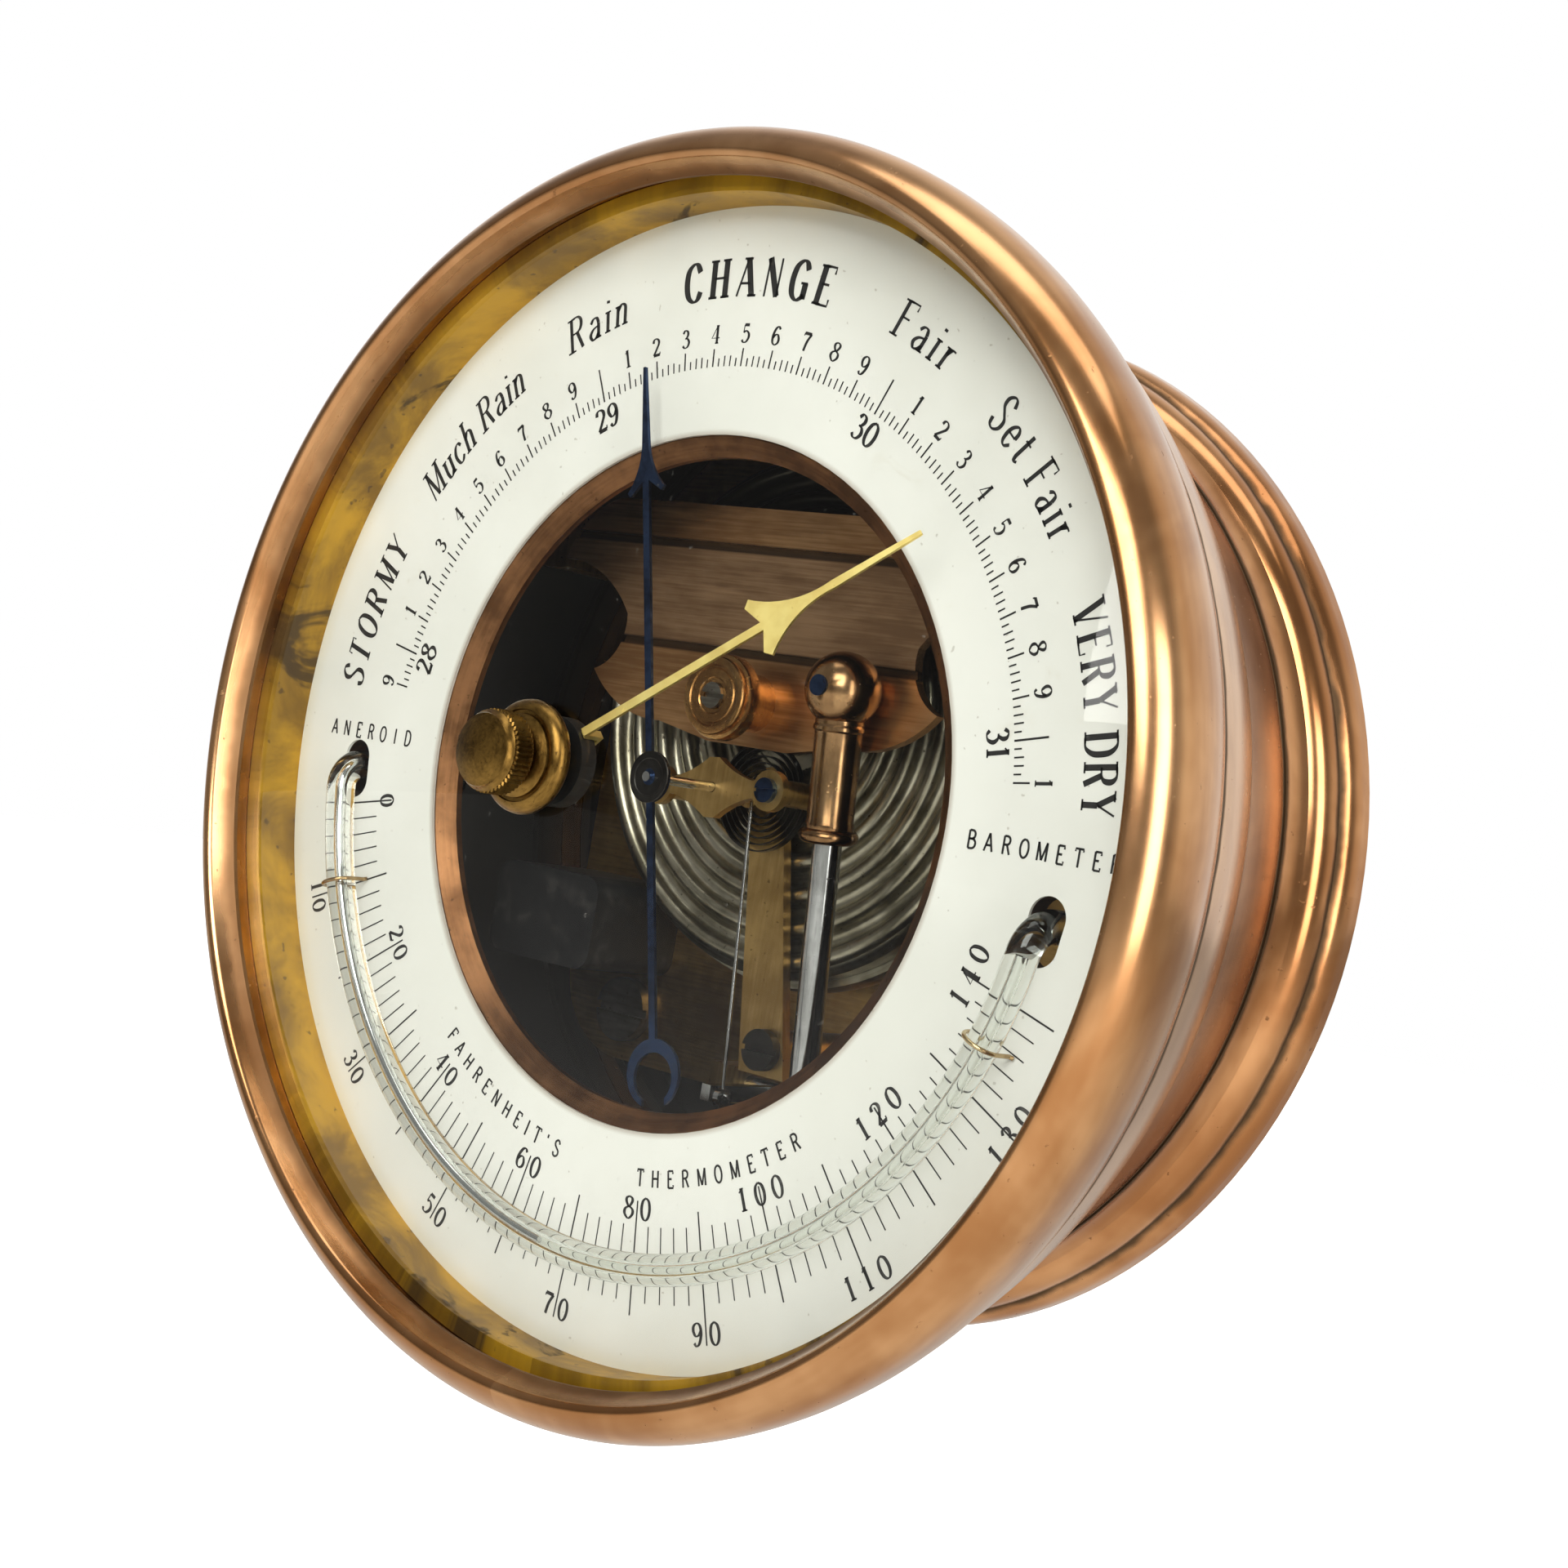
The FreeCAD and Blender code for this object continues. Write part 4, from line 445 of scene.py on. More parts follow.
def section(name):
    """A turned CAD node's outline as (radius, forward) in millimetres, read from the edges along its seam."""
    mesh = nodes[name].data
    spots = [v.co for v in mesh.vertices]
    seams = {}
    for edge in mesh.edges:
        first, second = (spots[k] for k in edge.vertices)
        angles = [round(math.degrees(math.atan2(v.x, v.z)), 2) % 360 for v in (first, second)]
        if angles[0] == angles[1]:
            ends = [(round(math.hypot(v.x, v.z) / MM, 3), round(-v.y / MM, 3)) for v in (first, second)]
            if ends[0] != ends[1]:
                seams.setdefault(angles[0], []).append(ends)
    edges = max(seams.values(), key=lambda group: sum(math.dist(*e) for e in group) - 0.001 * len(group))
    near = {}
    for first, second in edges:
        near.setdefault(first, set()).add(second)
        near.setdefault(second, set()).add(first)
    loose = sorted((p for p in near if len(near[p]) == 1), key=lambda p: (p[1], p[0]))
    for first, second in zip(loose[::2], loose[1::2]):
        near[first].add(second)
        near[second].add(first)
    outline = [min(near)]
    while True:
        onward = [p for p in near[outline[-1]] if p not in outline[-2:] and p != outline[0]]
        if not onward or onward[0] in outline:
            return outline
        outline.append(onward[0])


KNURL_DEPTH = 0.30


def lathe(name, outline, material, body, steps=256, place=None, closed=True, sharp=28, teeth=0, knurled=()):
    """A turned piece about the forward axis. Its knurled outline points have teeth cut round them."""
    centre = place or Matrix.Identity(4)
    vertices, faces = [], []
    for step in range(steps):
        angle = 2 * math.pi * step / steps
        wave = abs((step * teeth / steps) % 1 - 0.5) * 2
        for number, (radius, forward) in enumerate(outline):
            reach = radius - (KNURL_DEPTH * wave if number in knurled else 0)
            point = centre @ Vector((reach * math.sin(angle), -forward, reach * math.cos(angle)))
            vertices.append((point.x, point.z, -point.y))
    count = len(outline)
    for step in range(steps):
        for number in range(count if closed else count - 1):
            nxt = (number + 1) % count
            a, b = step * count, (step + 1) % steps * count
            faces.append((a + number, b + number, b + nxt, a + nxt))
    piece = new_piece(name, vertices, faces, material, body)
    shape = bmesh.new()
    shape.from_mesh(piece.data)
    bmesh.ops.remove_doubles(shape, verts=shape.verts, dist=1e-7)
    bmesh.ops.recalc_face_normals(shape, faces=shape.faces)
    shape.to_mesh(piece.data)
    shape.free()
    piece.data.shade_smooth()
    piece.data.set_sharp_from_angle(angle=math.radians(sharp))
    return piece


# ------------------------------------------------------------ dial lettering

# Each glyph is its width and its strokes, in hundredths of the capital height. T is a thick straight
# stroke, N a thin one, and S a smooth one that thickens where it runs upright.
GLYPHS = {
    "0": (60, "S30,100 12,85 5,50 12,15 30,0 48,15 55,50 48,85 30,100"),
    "1": (44, "T24,0 24,100|N24,98 8,82|N8,1 40,1"),
    "2": (60, "S9,76 14,94 30,100 47,90 50,70 36,45 8,5|T8,4 54,4|N54,4 56,20"),
    "3": (60, "S10,82 24,99 42,92 46,74 36,57 24,53|S24,53 44,48 54,27 42,4 22,0 8,14"),
    "4": (60, "N42,100 4,30 60,30|T42,100 42,0|N30,1 54,1"),
    "5": (60, "T14,97 48,97|N14,97 12,54|S12,54 30,64 50,50 53,26 38,3 18,1 7,14"),
    "6": (60, "S51,86 38,100 20,88 8,50 12,14 30,0 50,12 53,34 40,56 22,52 9,34"),
    "7": (60, "T7,95 56,95|N7,95 6,80|S56,95 36,52 28,0"),
    "8": (60, "S30,100 14,92 12,76 30,55 48,76 46,92 30,100|S30,55 8,42 6,20 30,0 54,20 52,42 30,55"),
    "9": (60, "S9,14 22,0 40,12 52,50 48,86 30,100 10,88 7,66 20,44 38,48 51,66"),
    "A": (64, "N4,0 32,100|T32,100 58,0|N14,34 48,34"),
    "B": (62, "T12,0 12,100|S12,99 38,98 50,84 48,64 34,54 12,53|S12,53 42,51 57,36 55,14 40,2 12,1"),
    "C": (62, "S54,76 44,96 30,100 12,84 6,50 12,16 30,0 46,5 56,24"),
    "D": (64, "T12,0 12,100|S12,99 38,97 55,78 59,50 55,22 38,3 12,1"),
    "E": (58, "T12,0 12,100|N12,99 50,99 50,82|N12,53 40,53|N12,1 52,1 52,18"),
    "F": (56, "T12,0 12,100|N12,99 50,99 50,82|N12,53 40,53"),
    "G": (66, "S54,78 44,96 30,100 12,84 6,50 12,16 30,0 46,6 54,16|T54,4 54,44|N38,44 62,44"),
    "H": (68, "T12,0 12,100|T56,0 56,100|N12,52 56,52"),
    "I": (30, "T15,0 15,100"),
    "M": (80, "N12,0 12,100|T12,100 40,4|N40,4 68,100|T68,100 68,0"),
    "N": (68, "N12,0 12,100|T12,100 56,2|N56,0 56,100"),
    "O": (66, "S33,100 14,86 6,50 14,14 33,0 52,14 60,50 52,86 33,100"),
    "R": (64, "T12,0 12,100|S12,99 38,98 51,84 49,64 36,54 12,53|T34,53 56,1"),
    "S": (56, "S48,80 38,97 24,100 9,86 12,66 30,51 48,36 49,14 32,0 14,4 6,22"),
    "T": (60, "T30,0 30,100|N5,84 5,99 55,99 55,84"),
    "V": (62, "T5,100 31,0|N31,0 56,100"),
    "Y": (62, "T5,100 31,48|N57,100 31,48|T31,48 31,0"),
    "'": (22, "T11,100 10,76"),
    "a": (48, "T39,0 39,44|S39,44 32,60 18,61 8,50|S39,36 18,31 7,16 16,1 30,4 39,16"),
    "c": (46, "S40,48 30,61 15,56 6,32 15,4 29,0 42,14"),
    "e": (48, "N7,34 42,34|S42,34 39,53 26,62 11,50 6,30 12,7 27,0 42,14"),
    "h": (50, "T10,0 10,100|S10,44 24,61 38,54 40,36|T40,38 40,0"),
    "i": (24, "T12,0 12,60|T12,84 12,92"),
    "n": (50, "T10,0 10,60|S10,44 24,61 38,54 40,36|T40,38 40,0"),
    "r": (38, "T10,0 10,60|S10,40 20,58 34,59"),
    "t": (36, "T16,84 16,12|S16,14 22,1 34,6|N4,60 32,60"),
    "u": (50, "T10,60 10,18|S10,20 16,2 28,1 40,16|T40,60 40,0"),
    " ": (20, ""),
}


class Print:
    """Collects flat ink strokes on the card, in millimetres, and makes one piece of them."""

    def __init__(self, height):
        self.vertices = []
        self.faces = []
        self.height = height

    def strip(self, points, widths):
        first = len(self.vertices)
        for number, point in enumerate(points):
            before, after = points[max(number - 1, 0)], points[min(number + 1, len(points) - 1)]
            along = Vector((after[0] - before[0], after[1] - before[1])).normalized()
            side = Vector((-along.y, along.x)) * widths[number] / 2
            for sign in (1, -1):
                self.vertices.append((point[0] + sign * side.x, point[1] + sign * side.y, self.height))
        for number in range(len(points) - 1):
            start = first + 2 * number
            self.faces.append((start, start + 1, start + 3, start + 2))

    def stroke(self, kind, points, to_card, thick, thin, scale):
        if kind == "S":
            points = smooth_line(points)
        elif len(points) == 2:
            points = [points[0], [(points[0][k] + points[1][k]) / 2 for k in (0, 1)], points[1]]
        widths = []
        for number in range(len(points)):
            before, after = points[max(number - 1, 0)], points[min(number + 1, len(points) - 1)]
            rise, run = after[1] - before[1], after[0] - before[0]
            upright = abs(rise) / max(math.hypot(rise, run), 1e-6)
            share = {"T": 1.0, "N": 0.0, "S": upright ** 1.6}[kind]
            widths.append((thin + (thick - thin) * share) * scale)
        self.strip([to_card(x, y) for x, y in points], widths)

    def word(self, text, centre, radius, height, outward=True, spacing=1.0, thick=0.17, thin=0.055, slant=0.0,
             serif=True, straight=False, squeeze=1.0):
        """A word centred on an angle of the dial, its baseline on a radius, its tops outwards or inwards."""
        scale = height / 100
        advance = [GLYPHS[letter][0] * scale * squeeze + (0.1 * height * spacing) for letter in text]
        across = -sum(advance) / 2
        for letter, step in zip(text, advance):
            middle = across + step / 2
            degrees = centre if straight else centre + math.degrees(middle / radius) * (1 if outward else -1)
            x0, y0 = polar(radius, degrees)
            shift = middle if straight else 0.0
            if straight:
                right, top = Vector((1, 0)), Vector((0, 1))
            else:
                top = Vector(polar(1 if outward else -1, degrees))
                right = Vector((top.y, -top.x))
            half = GLYPHS[letter][0] / 2

            def to_card(x, y):
                u = ((x - half) * squeeze + slant * (y - 50)) * scale + shift
                return x0 + right.x * u + top.x * y * scale, y0 + right.y * u + top.y * y * scale

            for stroke in filter(None, GLYPHS[letter][1].split("|")):
                points = [tuple(float(v) for v in pair.split(",")) for pair in stroke[1:].split()]
                self.stroke(stroke[0], points, to_card, thick * 100, thin * 100, scale)
                if serif and stroke[0] == "T" and abs(points[0][0] - points[1][0]) < 30:
                    for x, y in points:
                        if y in (0.0, 100.0, 60.0):
                            reach = 15 if letter.isupper() else 11
                            edge = y + (2 if y == 0 else -2)
                            self.stroke("N", [(x - reach, edge), (x + reach, edge)], to_card, thick * 100,
                                        thin * 100, scale)
            across += step

    def tick(self, degrees, inner, outer, width):
        self.strip([polar(inner, degrees), polar(outer, degrees)], [width, width])

    def piece(self, name, material):
        return new_piece(name, self.vertices, self.faces, material, "case", smooth=False)


def smooth_line(points, steps=7):
    """A Catmull-Rom line through the points."""
    line = []
    for number in range(len(points) - 1):
        p0 = Vector(points[max(number - 1, 0)])
        p1, p2 = Vector(points[number]), Vector(points[number + 1])
        p3 = Vector(points[min(number + 2, len(points) - 1)])
        for step in range(steps):
            t = step / steps
            line.append(0.5 * (2 * p1 + (p2 - p0) * t + (2 * p0 - 5 * p1 + 4 * p2 - p3) * t * t
                               + (3 * p1 - p0 - 3 * p2 + p3) * t ** 3))
    line.append(Vector(points[-1]))
    return [(v.x, v.y) for v in line]


INK = ink()
INK_HEIGHT = CARD + 0.03

# Barometer scale: inches of mercury from 27.9 to 31.1, 29.5 at the top.
DEGREES_PER_INCH = 51.9
BASE_CIRCLE = 50.3


def inch_angle(inches):
    return (inches - 29.5) * DEGREES_PER_INCH


scale = Print(INK_HEIGHT)
for step in range(161):
    hundredths = 2790 + 2 * step
    angle = inch_angle(hundredths / 100)
    if hundredths % 100 == 0:
        scale.tick(angle, BASE_CIRCLE, 54.8, 0.24)
    elif hundredths % 10 == 0:
        scale.tick(angle, BASE_CIRCLE, 52.5, 0.22)
    else:
        scale.tick(angle, BASE_CIRCLE, 51.6 if hundredths % 10 in (4, 6) else 51.3, 0.19)
    if hundredths % 10 == 0 and hundredths % 100:
        scale.word(str(hundredths // 10 % 10), angle, 53.2, 2.2, thick=0.17, thin=0.07)
for inches in (28, 29, 30, 31):
    scale.word(str(inches), inch_angle(inches), 46.7, 2.9, thick=0.18, thin=0.07)
scale.piece("barometer_scale", INK)

# Thermometer scale: Fahrenheit from 0 to 140, anticlockwise round the lower half.
DEGREES_PER_F = 1.0878
ZERO_F = 259.64


def heat_angle(fahrenheit):
    return ZERO_F - fahrenheit * DEGREES_PER_F


heat = Print(INK_HEIGHT)
for fahrenheit in range(-2, 143, 2):
    angle = heat_angle(fahrenheit)
    if fahrenheit % 10 == 0:
        digits = str(fahrenheit)
        inside = fahrenheit % 20 == 0
        heat.tick(angle, 50.0 if inside else 51.2, 63.4 if inside else 66.4, 0.22)
        radius = 52.2 if inside else 66.4
        for place, digit in enumerate(digits):
            offset = (place - (len(digits) - 1) / 2) * 2.7
            turn = math.degrees(offset / (radius - 1.4))
            heat.word(digit, angle - turn, radius, 2.6, outward=False, thick=0.17, thin=0.07)
    elif 0 <= fahrenheit <= 140:
        heat.tick(angle, 52.9, 61.8, 0.17)
heat.piece("thermometer_scale", INK)

words = Print(INK_HEIGHT)
words.word("STORMY", -75.2, 59.4, 4.2, spacing=2.1, slant=0.14, squeeze=0.95, thick=0.15)
words.word("Much Rain", -48.2, 59.2, 4.4, spacing=0.9, slant=0.22, squeeze=0.94, thick=0.12)
words.word("Rain", -24.8, 59.0, 4.4, spacing=1.6, slant=0.2, thick=0.12)
words.word("CHANGE", 0.6, 58.8, 4.7, spacing=2.6, squeeze=0.95, thick=0.19, thin=0.065)
words.word("Fair", 27.0, 59.0, 4.4, spacing=2.0, slant=0.05, thick=0.12)
words.word("Set Fair", 48.7, 59.0, 4.3, spacing=1.7, squeeze=0.88, thick=0.12)
words.word("VERY DRY", 75.6, 59.3, 4.2, spacing=1.4, squeeze=0.95, thick=0.16)
words.piece("dial_words", INK)

small = Print(INK_HEIGHT)
plain = {"thick": 0.14, "thin": 0.13, "serif": False}
small.word("FAHRENHEIT'S", 204.6, 48.3, 2.0, outward=False, spacing=5.8, squeeze=0.95, **plain)
small.word("THERMOMETER", 157.6, 48.3, 2.0, outward=False, spacing=6.3, squeeze=0.95, **plain)
for text, middle in (("ANEROID", -55.6), ("BAROMETER", 55.2)):
    width = 15.0 if text == "ANEROID" else 18.8
    step = width / (len(text) - 1)
    for number, letter in enumerate(text):
        x = middle - width / 2 + number * step
        small.word(letter, math.degrees(math.atan2(x, -1.6)), math.hypot(x, 1.6), 2.0, straight=True, **plain)
small.piece("dial_small_words", INK)

# ------------------------------------------------------------ turned pieces finer than the CAD mesh


def middle_of(name):
    """A node's middle as (right, up), in millimetres."""
    low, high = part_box(name)
    return (low.x + high.x) / 2 / MM, (low.z + high.z) / 2 / MM


def along(origin, direction):
    """Places a lathe's axis at a point and along a direction, both (right, up, forward) in millimetres."""
    x, up, forward = direction
    turn = Vector((0, -1, 0)).rotation_difference(Vector((x, -forward, up)))
    return Matrix.Translation((origin[0], -origin[2], origin[1])) @ turn.to_matrix().to_4x4()


def arc(centre, start, end, steps=24):
    """Points of a round about (radius, distance), its angles measured from the axis' rear."""
    radius, at, size = centre
    points = []
    for step in range(steps + 1):
        angle = math.radians(start + (end - start) * step / steps)
        points.append((radius + size * math.sin(angle), at - size * math.cos(angle)))
    return points


for name in ("bezel", "case_moulding", "case_drum", "foot_ring", "liner_ring"):
    piece = lathe(name + "_turned", section(name), materials[name], "case", 384)
    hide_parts(name)

BALL_R = 4.6
ROD_LEAN = math.radians(6.0)
ball_x, ball_up = middle_of("ball_stud")
ball = (ball_x, ball_up, front_of("ball_head") - BALL_R)
down_rod = (0, -math.cos(ROD_LEAN), -math.sin(ROD_LEAN))
head = arc((0, 0, BALL_R), 0, 140, 48)
head += [(2.95, 4.0), (3.12, 4.3), (3.12, 4.7), (2.92, 4.95), (2.88, 5.3), (2.82, 15.5), (2.95, 15.8),
         (2.95, 16.2)]
head += arc((2.7, 17.3, 0.9), 15, 180, 24) + [(1.75, 18.2), (1.75, 17.6)]
piece = lathe("ball_and_socket", head, BALL_BRASS, "lever", 96, along(ball, down_rod), closed=False)
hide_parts("ball_head")
rod = [(0, 9.0), (1.75, 9.0), (1.75, 63.6), (1.5, 64.0), (0, 64.0)]
piece = lathe("steel_rod", rod, POLISHED, "lever", 96, along(ball, down_rod), closed=False)
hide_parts("lever_rod")
pin_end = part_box("lever_rod")[1].x / MM
pin = [(0, 0), (0.6, 0), (0.6, pin_end - ball_x - 0.15), (0.45, pin_end - ball_x), (0, pin_end - ball_x)]
foot = 63.2
pin_place = along((ball_x, ball_up - foot, ball[2] - foot * math.tan(ROD_LEAN)), (1, 0, 0))
lathe("rod_pin", pin, POLISHED, "lever", 32, pin_place, closed=False)

base, top, wide = back_of("lever_boss"), front_of("lever_boss"), radius_of("lever_boss")
boss = [(3.6, base), (3.6, top - 3.2), (wide - 0.3, top - 3.0), (wide, top - 2.7), (wide, top - 1.35),
        (wide - 0.12, top - 1.1), (wide - 0.5, top - 1.0), (wide - 0.5, top - 0.25),
        (wide - 0.62, top - 0.06), (wide - 0.8, top), (wide - 1.5, top), (wide - 1.65, top - 0.2),
        (wide - 1.85, top - 0.2), (wide - 2.0, top), (2.3, top), (2.15, top - 0.12), (1.62, top - 0.15),
        (1.6, top - 1.0)]
boss_place = along((0, middle_of("lever_boss")[1], 0), (0, 0, 1))
piece = lathe("turned_boss", boss, BOSS_BRASS, "lever", 128, boss_place, closed=False)
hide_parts("lever_boss")

base, top, wide = back_of("set_knob"), front_of("set_knob"), radius_of("set_knob")
knob = [(1.9, base), (2.9, base), (2.9, base + 0.85), (wide - 0.5, base + 0.95), (wide - 0.12, base + 1.25),
        (wide, base + 1.4), (wide, top - 1.95), (wide - 0.16, top - 1.75), (wide - 0.2, top - 1.5),
        (wide - 0.55, top - 1.15)]
knob += [((wide - 0.7) * (1 - k / 12), top - ((wide - 0.7) * (1 - k / 12)) ** 2 / 24) for k in range(13)]
piece = lathe("knurled_knob", knob, KNOB_BRASS, "set_hand", 576, closed=False, teeth=48, knurled=(4, 5, 6, 7))
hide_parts("set_knob")
base, top, wide = back_of("glass_bush"), front_of("glass_bush"), radius_of("glass_bush")
collar = [(2.6, base), (2.6, top - 3.1), (wide - 1.2, top - 3.1), (wide - 0.4, top - 2.9),
          (wide - 0.08, top - 2.5), (wide, top - 2.1), (wide - 0.1, top - 1.6), (wide - 0.45, top - 1.1),
          (wide - 1.0, top - 0.75), (wide - 1.3, top - 0.7), (wide - 1.4, top - 0.95),
          (wide - 1.75, top - 0.95), (wide - 1.85, top - 0.6), (3.7, top - 0.1), (3.5, top), (2.0, top),
          (2.0, base)]
piece = lathe("collar", collar, KNOB_BRASS, "case", 192)
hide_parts("glass_bush")

# ------------------------------------------------------------ thermometer

TUBE_CIRCLE, TUBE_AXIS, TUBE_BEND = 57.7, 51.8, 3.5
TUBE_START, TUBE_END, READING = 261.5, 101.7, 185.7
TUBE_R, BORE_R, THREAD_R = 1.9, 0.5, 0.45
LEG = 42.5


def tube_point(degrees, tangent=0.0, drop=0.0):
    """A point on the thermometer's line: on its circle, moved clockwise along the tangent and dropped."""
    x, up = polar(TUBE_CIRCLE, degrees)
    a = math.radians(degrees)
    return Vector((x + tangent * math.cos(a), up - tangent * math.sin(a), TUBE_AXIS - drop))


def tube_line(leg, end, last_leg):
    """The line up the first leg, round its bend and along the circle, and down a last leg if there is one."""
    points = [tube_point(TUBE_START, TUBE_BEND, TUBE_AXIS - leg)]
    for step in range(13):
        t = math.radians(7.5 * step)
        points.append(tube_point(TUBE_START, TUBE_BEND * math.cos(t), TUBE_BEND * (1 - math.sin(t))))
    points += [tube_point(TUBE_START + (end - TUBE_START) * step / 160) for step in range(1, 161)]
    if last_leg:
        for step in range(1, 13):
            t = math.radians(7.5 * step)
            points.append(tube_point(end, -TUBE_BEND * math.sin(t), TUBE_BEND * (1 - math.cos(t))))
        points.append(tube_point(end, -TUBE_BEND, TUBE_AXIS - LEG))
    return points


def sweep(line, radii, around=32, inward=False):
    """Vertices and faces of a round skin along a line, closed at both ends."""
    vertices, faces = [], []
    side = None
    for number, point in enumerate(line):
        ahead = (line[min(number + 1, len(line) - 1)] - line[max(number - 1, 0)]).normalized()
        side = ahead.orthogonal() if side is None else side
        side = (side - ahead * side.dot(ahead)).normalized()
        other = ahead.cross(side)
        radius = radii[number] if isinstance(radii, list) else radii
        for step in range(around):
            t = 2 * math.pi * step / around
            vertices.append(tuple(point + (side * math.cos(t) + other * math.sin(t)) * radius))
    for number in range(len(line) - 1):
        for step in range(around):
            a, b = number * around + step, number * around + (step + 1) % around
            faces.append((a, b, b + around, a + around))
    last = (len(line) - 1) * around
    faces += [tuple(reversed(range(around))), tuple(range(last, last + around))]
    return vertices, [tuple(reversed(face)) for face in faces] if inward else faces


def swept_piece(name, skins, material, body):
    """One piece of several skins, each (line, radii, inward)."""
    vertices, faces = [], []
    for line, radii, inward in skins:
        more, sides = sweep(line, radii, inward=inward)
        faces += [tuple(k + len(vertices) for k in side) for side in sides]
        vertices += more
    piece = new_piece(name, vertices, faces, material, body)
    piece.data.set_sharp_from_angle(angle=math.radians(50))
    return piece


def leg_line(stations):
    """Points and radii down the first leg, given as (distance from the wall, radius)."""
    return ([tube_point(TUBE_START, TUBE_BEND, TUBE_AXIS - at) for at, _ in stations],
            [radius for _, radius in stations])


bulb, bulb_radii = leg_line(((31.0, 0.8), (31.05, 1.6), (31.3, 2.4), (31.9, 2.9), (42.2, 3.0), (42.9, 2.5),
                             (43.2, 1.95)))
whole = tube_line(43.6, TUBE_END, True)
bore = tube_line(43.2, TUBE_END, False)
tube = swept_piece("glass_tube", [(bulb + whole, bulb_radii + [TUBE_R] * len(whole), False),
                                  (bore, BORE_R, True)], materials["thermometer_tube"], "case")
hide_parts("thermometer_tube")
column = tube_line(43.0, READING, False)
well, well_radii = leg_line(((31.6, 0.8), (31.7, 1.8), (32.2, 2.4), (41.8, 2.4), (42.4, 1.4),
                             (42.7, THREAD_R)))
thread = swept_piece("mercury_thread", [(well + column, well_radii + [THREAD_R] * len(column), False)],
                     materials["mercury"], "case")
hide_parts("mercury")

WIRE_R, CLIP_REACH = 0.26, TUBE_R + 0.42
CLIP_FEET = ((0.5, 0.2), (0.1, 0.5))
staples = []
for degrees in (248.8, 112.0):
    out = Vector((*polar(1, degrees), 0))
    centre = out * TUBE_CIRCLE + Vector((0, 0, TUBE_AXIS))
    line = [centre - out * (CLIP_REACH + wide) + Vector((0, 0, CARD + up - TUBE_AXIS))
            for wide, up in CLIP_FEET]
    for step in range(25):
        t = math.radians(180 * step / 24)
        line.append(centre - out * CLIP_REACH * math.cos(t) + Vector((0, 0, CLIP_REACH * math.sin(t))))
    line += [centre + out * (CLIP_REACH + wide) + Vector((0, 0, CARD + up - TUBE_AXIS))
             for wide, up in reversed(CLIP_FEET)]
    staples.append((line, WIRE_R, False))
clips = swept_piece("wire_clips", staples, materials["thermometer_clips"], "case")
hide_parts("thermometer_clips")

hand_top = front_of("indicating_hand")
cap = [(1.0, hand_top - 0.2), (3.12, hand_top - 0.2), (3.12, hand_top), (3.02, hand_top + 0.08),
       (2.3, hand_top + 0.12), (2.2, hand_top + 0.05), (1.1, hand_top + 0.05), (1.0, hand_top + 0.02)]
lathe("hand_hub", cap, BLACK_STEEL, "hand", 96)

# ------------------------------------------------------------ camera, floor and light

def view_axes(azimuth, elevation, roll):
    """The camera's right, down and forward directions in the row frame."""
    a, e, r = (math.radians(v) for v in (azimuth, elevation, roll))
    forward = -Vector((math.sin(a) * math.cos(e), -math.cos(a) * math.cos(e), math.sin(e)))
    right = forward.cross(Vector((0, 0, 1))).normalized()
    down = forward.cross(right)
    return (right * math.cos(r) + down * math.sin(r), down * math.cos(r) - right * math.sin(r), forward)


VIEW_AZIMUTH, VIEW_ELEVATION, VIEW_ROLL = 40.89, 0.0, -9.71
LENS, SENSOR = 59.54, 36.0
DIAL_IN_VIEW = (-13.684, -0.458, 310.61)  # the dial's centre, right, down and forward of the camera, in mm
right, down, forward = view_axes(VIEW_AZIMUTH, VIEW_ELEVATION, VIEW_ROLL)
dial_centre = Vector((0, -CARD * MM, 0))
seen_at = Vector(DIAL_IN_VIEW) * MM
camera_place = dial_centre - right * seen_at.x - down * seen_at.y - forward * seen_at.z
camera = bpy.data.objects.new("camera", bpy.data.cameras.new("camera"))
camera.data.sensor_width = SENSOR
camera.data.lens = LENS
camera.data.clip_start = 0.01
camera.matrix_world = Matrix.Translation(camera_place) @ Matrix(
    [(right[k], -down[k], -forward[k]) for k in range(3)]).to_4x4()
bpy.context.scene.collection.objects.link(camera)
bpy.context.scene.camera = camera


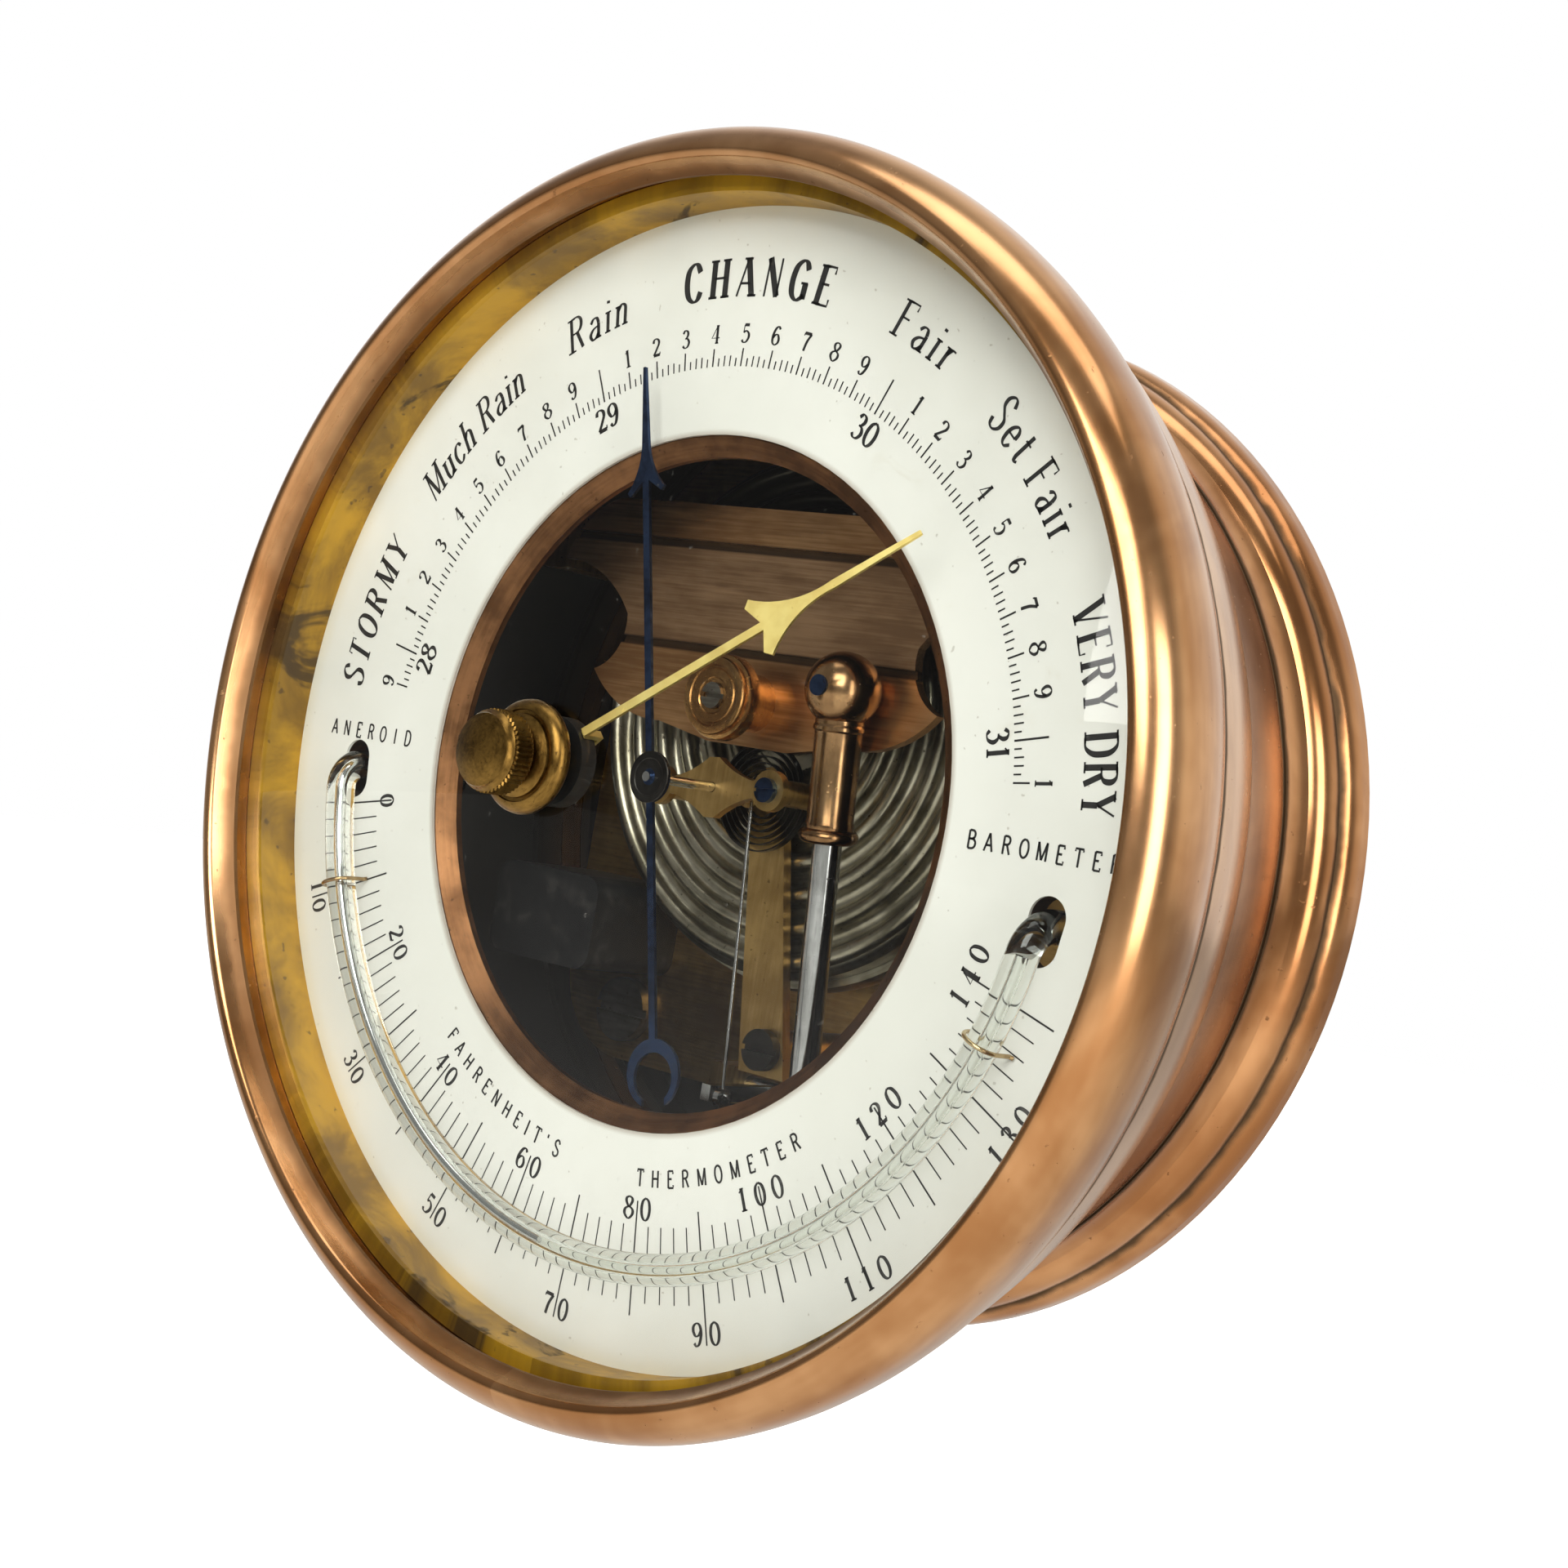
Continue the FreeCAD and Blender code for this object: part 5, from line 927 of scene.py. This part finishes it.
def softbox(name, place, target, width, height, power, color=(1, 1, 1)):
    light = bpy.data.lights.new(name, "AREA")
    light.shape = "RECTANGLE"
    light.size, light.size_y = width, height
    light.energy = power
    light.color = color
    lamp = bpy.data.objects.new(name, light)
    lamp.location = place
    lamp.rotation_euler = (Vector(target) - Vector(place)).to_track_quat("-Z", "Y").to_euler()
    bpy.context.scene.collection.objects.link(lamp)


aim = (0, -0.04, 0)
softbox("key", (0.42, -1.05, 0.55), aim, 0.7, 0.7, 13, (1.0, 0.985, 0.96))
softbox("side", (1.15, -0.42, 0.2), aim, 0.5, 0.9, 9, (1.0, 0.97, 0.94))
softbox("top", (0.1, -0.2, 1.2), aim, 1.2, 0.5, 5, (1.0, 0.98, 0.96))

world = bpy.data.worlds.new("studio")
bpy.context.scene.world = world
sky = Nodes("studio", world)
back, up = sky.split(sky.add("ShaderNodeTexCoord").outputs["Generated"])[1:]
shade = sky.mix(sky.ramp(up, -1, 1, smooth=False), (0.10, 0.09, 0.08, 1), (0.42, 0.41, 0.40, 1))
shade = sky.mix(sky.ramp(back, 0.05, 0.60), shade, (1.25, 1.22, 1.17, 1))
room = sky.add("ShaderNodeBackground", {"Color": shade, "Strength": 0.85}).outputs[0]
white = sky.add("ShaderNodeBackground", {"Color": (1, 1, 1, 1)}).outputs[0]
seen = sky.add("ShaderNodeLightPath").outputs["Is Camera Ray"]
lit = sky.add("ShaderNodeMixShader", {0: seen, 1: room, 2: white}).outputs[0]
sky.add("ShaderNodeOutputWorld", {"Surface": lit})

floor_mesh = bpy.data.meshes.new("floor")
FLOOR_REACH, FLOOR_UP = 4.0, -0.3
corners = [(x * FLOOR_REACH, y * FLOOR_REACH, FLOOR_UP) for x, y in ((-1, -1), (1, -1), (1, 1), (-1, 1))]
floor_mesh.from_pydata(corners, [], [(0, 1, 2, 3)])
pale = Nodes("pale_floor")
seen = pale.add("ShaderNodeLightPath").outputs["Is Camera Ray"]
floor_mesh.materials.append(pale.finish(pale.principled(
    Base_Color=(0.8, 0.79, 0.77, 1), Roughness=0.9, Emission_Color=(1, 1, 1, 1),
    Emission_Strength=pale.math("MULTIPLY", seen, 0.9))))
floor = bpy.data.objects.new("floor", floor_mesh)
bpy.context.scene.collection.objects.link(floor)
bpy.context.scene.view_settings.view_transform = "Standard"
